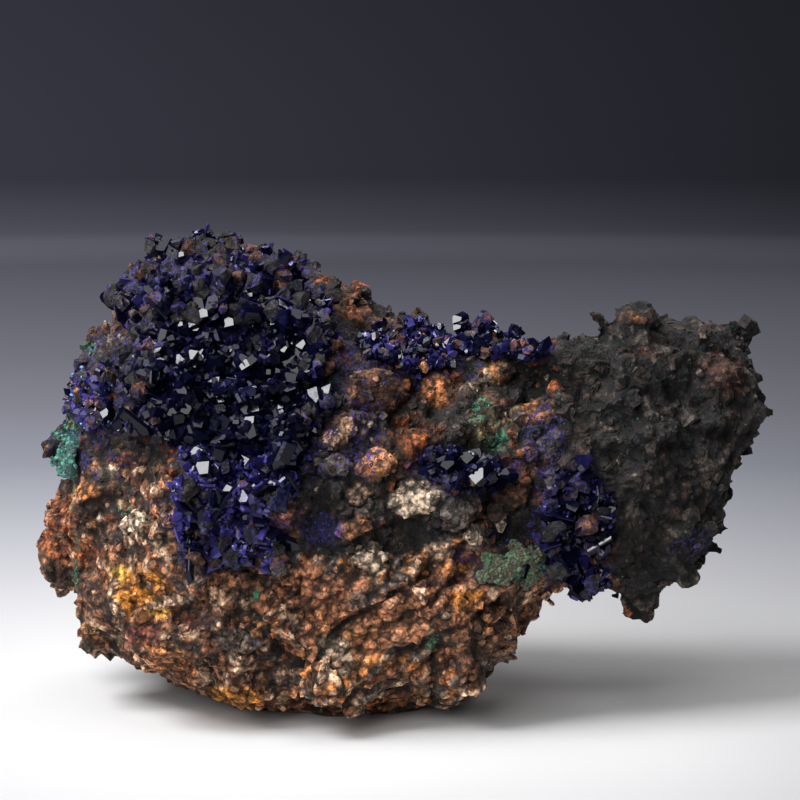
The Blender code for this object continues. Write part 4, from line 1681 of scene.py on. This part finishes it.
@dataclass
class Studio:
    """The camera, the lamps and the backdrop."""

    sight: Sight
    lens: float = 120.0
    floor_radius: float = 1.35
    bend: float = 0.25
    wall_height: float = 2.2
    ambience: Colour = (0.035, 0.036, 0.045)

    def build(self) -> None:
        """Builds everything around the specimen."""
        self.camera()
        self.backdrop()
        for lamp in Lamp:
            self.lamp(lamp)
        world = bpy.data.worlds.new("studio")
        bpy.context.scene.world = world
        world.use_nodes = True
        world.node_tree.nodes["Background"].inputs["Color"].default_value = (*self.ambience, 1.0)
        bpy.context.scene.view_settings.view_transform = "Standard"

    def camera(self) -> None:
        """Stands the camera at the photo's viewing angle."""
        data = bpy.data.cameras.new("camera")
        data.lens, data.sensor_width = self.lens, 36.0
        made = bpy.data.objects.new("camera", data)
        made.location = self.sight.eye
        made.rotation_mode = "QUATERNION"
        made.rotation_quaternion = self.sight.forward.to_track_quat("-Z", "Y")
        bpy.context.scene.collection.objects.link(made)
        bpy.context.scene.camera = made

    def lamp(self, lamp: Lamp) -> None:
        """Hangs a soft square lamp that points at the specimen.

        Args:
            lamp: Which lamp it is.
        """
        spot, size, power = lamp.value
        data = bpy.data.lights.new(lamp.name.lower() + "_lamp", "AREA")
        data.size, data.energy = size, power
        made = bpy.data.objects.new(data.name, data)
        made.location = spot
        made.rotation_mode = "QUATERNION"
        made.rotation_quaternion = (self.sight.target - spot).to_track_quat("-Z", "Y")
        bpy.context.scene.collection.objects.link(made)

    def backdrop(self) -> None:
        """Turns a floor, a bend and a wall round the specimen."""
        bm = bmesh.new()
        outline = [bm.verts.new((radius, 0.0, 0.0)) for radius in (0.001, 0.3, 0.7, self.floor_radius)]
        for step in range(1, 9):
            angle = math.radians(step * 90 / 8)
            radius = self.floor_radius + self.bend * math.sin(angle)
            outline.append(bm.verts.new((radius, 0.0, self.bend * (1 - math.cos(angle)))))
        outline.append(bm.verts.new((self.floor_radius + self.bend, 0.0, self.wall_height)))
        edges = [bm.edges.new(pair) for pair in zip(outline, outline[1:])]
        bmesh.ops.spin(
            bm, geom=[*outline, *edges], cent=(0, 0, 0), axis=(0, 0, 1), angle=math.tau, steps=96,
            use_merge=True,
        )
        bmesh.ops.recalc_face_normals(bm, faces=bm.faces)
        mesh = bpy.data.meshes.new("backdrop")
        bm.to_mesh(mesh)
        bm.free()
        mesh.polygons.foreach_set("use_smooth", [True] * len(mesh.polygons))
        mesh.materials.append(PaintedLightBackdropFinish().build())
        made = bpy.data.objects.new("backdrop", mesh)
        bpy.context.scene.collection.objects.link(made)


CRUSTS = (
    CrystalCrust(
        "azurite_druse",
        (
            Lot(Habit.TOOTH, 190, (1.9, 3.4), (0.8, 1.3), (0.0, 0.25), low=-14, high=21),
            Lot(Habit.BLOCK, 120, (1.4, 2.6), (0.8, 1.4), (0.0, 0.35), low=-16, high=22),
            Lot(Habit.BLADE, 60, (1.8, 3.4), (0.8, 1.3), (0.0, 0.3), high=24),
            Lot(Habit.TOOTH, 560, (0.7, 1.6), (0.8, 1.5), (0.0, 0.5), low=-16, high=21),
            Lot(Habit.BLADE, 90, (0.9, 2.2), (0.8, 1.2), (0.0, 0.7), low=20),
            Lot(Habit.TOOTH, 160, (0.5, 1.1), (0.8, 1.2), (0.0, 0.85), low=20),
            Lot(Habit.BLADE, 60, (1.6, 3.2), (0.8, 1.2), (0.3, 0.75), high=-12),
            Lot(Habit.TOOTH, 400, (0.7, 1.6), (0.8, 1.4), (0.3, 0.85), high=-10),
            Lot(Habit.BLOCK, 320, (0.5, 1.1), (0.8, 1.4), (0.5, 0.92), high=-10),
            Lot(Habit.BLADE, 140, (0.8, 2.2), (0.8, 1.3), (0.3, 0.85)),
        ),
        glints(
            (-42.5, 18.4, 3.0, 1), (-36.9, 16.5, 3.0, 1), (-47.5, 16.3, 1.5, 1), (-44.2, 15.2, 1.5, 1),
            (-33.6, 23.6, 1.7, 1), (-32.3, 22.8, 1.5, 1), (-43.4, 8.5, 2.6, 1), (-33.2, 7.4, 2.6, 1),
            (-51.2, 8.9, 1.7, 0), (-45.7, 5.4, 1.5, 1), (-52.2, 2.4, 3.0, 1), (-31.4, 2.4, 1.5, 1),
            (-28.2, 3.9, 1.7, 1), (-46.2, 0.9, 2.8, 0), (-38.6, 0.2, 2.4, 1), (-41.2, 0.9, 1.7, 0),
            (-31.4, -2.0, 3.0, 1), (-25.8, -1.5, 1.7, 1), (-32.3, -4.8, 2.8, 1), (-27.3, -5.4, 1.7, 0),
            (-47.7, -11.9, 4.8, 1), (-42.3, -15.0, 3.7, 1), (-44.0, -5.4, 3.3, 0), (-32.5, -7.6, 2.8, 0),
            (-45.1, -6.9, 3.0, 0), (-35.6, 11.3, 2.0, 0), (-38.6, -15.2, 2.2, 0), (-29.3, -15.2, 2.6, 0),
            (-34.7, -21.7, 2.6, 0), (-44.2, -22.8, 3.5, 0), (-40.1, -26.0, 3.0, 0), (-37.3, -19.5, 2.0, 1),
            (-25.1, 11.1, 1.7, 1), (-23.6, 11.9, 1.3, 1), (-47.3, 31.4, 1.7, 1), (-40.1, 31.2, 1.7, 0),
            (-33.4, 31.0, 1.7, 0), (-49.6, 13.0, 2.0, 0), (-23.8, 4.3, 3.3, 0),
        ),
        seed=11,
    ),
    CrystalCrust(
        "azurite_left_grains",
        (
            Lot(Habit.TOOTH, 240, (0.7, 1.9), (0.8, 1.3), (0.1, 0.8)),
            Lot(Habit.BLOCK, 120, (0.35, 0.8), (0.8, 1.3), (0.6, 0.95)),
            Lot(Habit.BLOCK, 110, (0.35, 0.8), (0.8, 1.3), (1.0, 1.15)),
        ),
        glints((-66.1, 8.9, 1.3, 1), (-71.5, 2.8, 1.7, 1), (-66.3, -2.0, 2.4, 1), (-63.7, -3.0, 2.2, 1)),
        bed_tint=0.4,
        seed=12,
    ),
    CrystalCrust(
        "azurite_upper_patch",
        (
            Lot(Habit.TOOTH, 240, (0.6, 1.7), (0.8, 1.3), (0.05, 0.7)),
            Lot(Habit.BLADE, 80, (0.6, 1.4), (0.8, 1.2), (0.2, 0.85)),
        ),
        glints((1.3, 6.3, 1.5, 1), (-4.3, 10.4, 1.5, 0), (4.3, 10.8, 1.5, 0), (7.8, 11.5, 1.3, 1)),
        bed_tint=0.3,
        seed=13,
    ),
    CrystalCrust(
        "azurite_crest",
        (
            Lot(Habit.TOOTH, 100, (1.2, 2.6), (0.8, 1.3), (0.0, 0.5)),
            Lot(Habit.BLADE, 60, (1.2, 2.8), (0.8, 1.3), (0.0, 0.5)),
            Lot(Habit.BLOCK, 260, (0.5, 1.2), (0.8, 1.3), (0.05, 0.65)),
        ),
        glints((6.9, 18.6, 2.4, 1), (10.6, 16.5, 2.0, 1), (13.7, 17.8, 1.7, 0), (16.9, 14.7, 2.2, 0)),
        seed=14,
    ),
    CrystalCrust(
        "azurite_centre_seam",
        (
            Lot(Habit.TOOTH, 70, (1.2, 2.6), (0.8, 1.3), (0.0, 0.4)),
            Lot(Habit.BLOCK, 160, (0.5, 1.2), (0.8, 1.3), (0.1, 0.6)),
        ),
        glints((17.3, -16.7, 4.0, 1), (10.2, -14.5, 3.0, 0), (6.9, -15.8, 2.0, 0)),
        seed=15,
    ),
    CrystalCrust(
        "azurite_blades",
        (
            Lot(Habit.BLADE, 90, (1.6, 3.8), (0.8, 1.1), (0.0, 0.45), low=-40),
            Lot(Habit.TOOTH, 30, (1.2, 2.4), (0.8, 1.3), (0.0, 0.5), low=-40),
            Lot(Habit.BLOCK, 120, (0.5, 1.2), (0.8, 1.3), (0.2, 0.8)),
        ),
        glints((31.7, -25.1, 1.5, 1), (36.9, -34.5, 4.2, 0), (37.3, -23.2, 3.6, 0), (42.5, -28.2, 2.4, 0)),
        seed=16,
    ),
)

TUFTS = (
    MalachiteTuft(
        "malachite_left", 420, MalachiteFinish("bright_malachite", linear(20, 62, 60), linear(58, 156, 128))
    ),
    MalachiteTuft(
        "malachite_right",
        700,
        MalachiteFinish("dull_malachite", linear(74, 62, 42), linear(64, 120, 84)),
        seed=10,
    ),
)


def attach(piece: bpy.types.Object, nodes: Iterable[str] = ()) -> None:
    """Fixes a finished piece to the specimen, hides the frame's nodes that it replaces and logs its face
    count.

    Args:
        piece: The piece.
        nodes: The frame's nodes that it replaces.
    """
    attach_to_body(piece, "root")
    names = tuple(nodes)
    if names:
        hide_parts(*names)
    log.info("%s: %d faces", piece.name, len(piece.data.polygons))


def corners(box: tuple[Vector, Vector]) -> list[list[float]]:
    """Turns a box into plain lists."""
    return [list(corner) for corner in box]


def main() -> None:
    """Builds the studio and the specimen, piece by piece."""
    logging.basicConfig(level=logging.INFO, format="%(message)s")
    noise.seed_set(NOISE_SEED)
    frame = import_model()
    nodes = frame["nodes"]
    sight = Sight()
    Studio(sight).build()
    rock_finish = RockFinish().build()
    rock = RockBody(sight)
    attach(rock.build(nodes, rock_finish), ["rock_matrix"])
    for grains in GRAINS:
        attach(grains.build(rock, rock_finish))
    for stones in STONES:
        attach(stones.build(nodes, sight, rock_finish))
    crystal_finish = CrystalFinish().build()
    for crust in CRUSTS:
        attach(crust.build(nodes, rock, crystal_finish), [crust.node])
    for tuft in TUFTS:
        attach(tuft.build(nodes), [tuft.node])


if __name__ == "__main__":
    main()
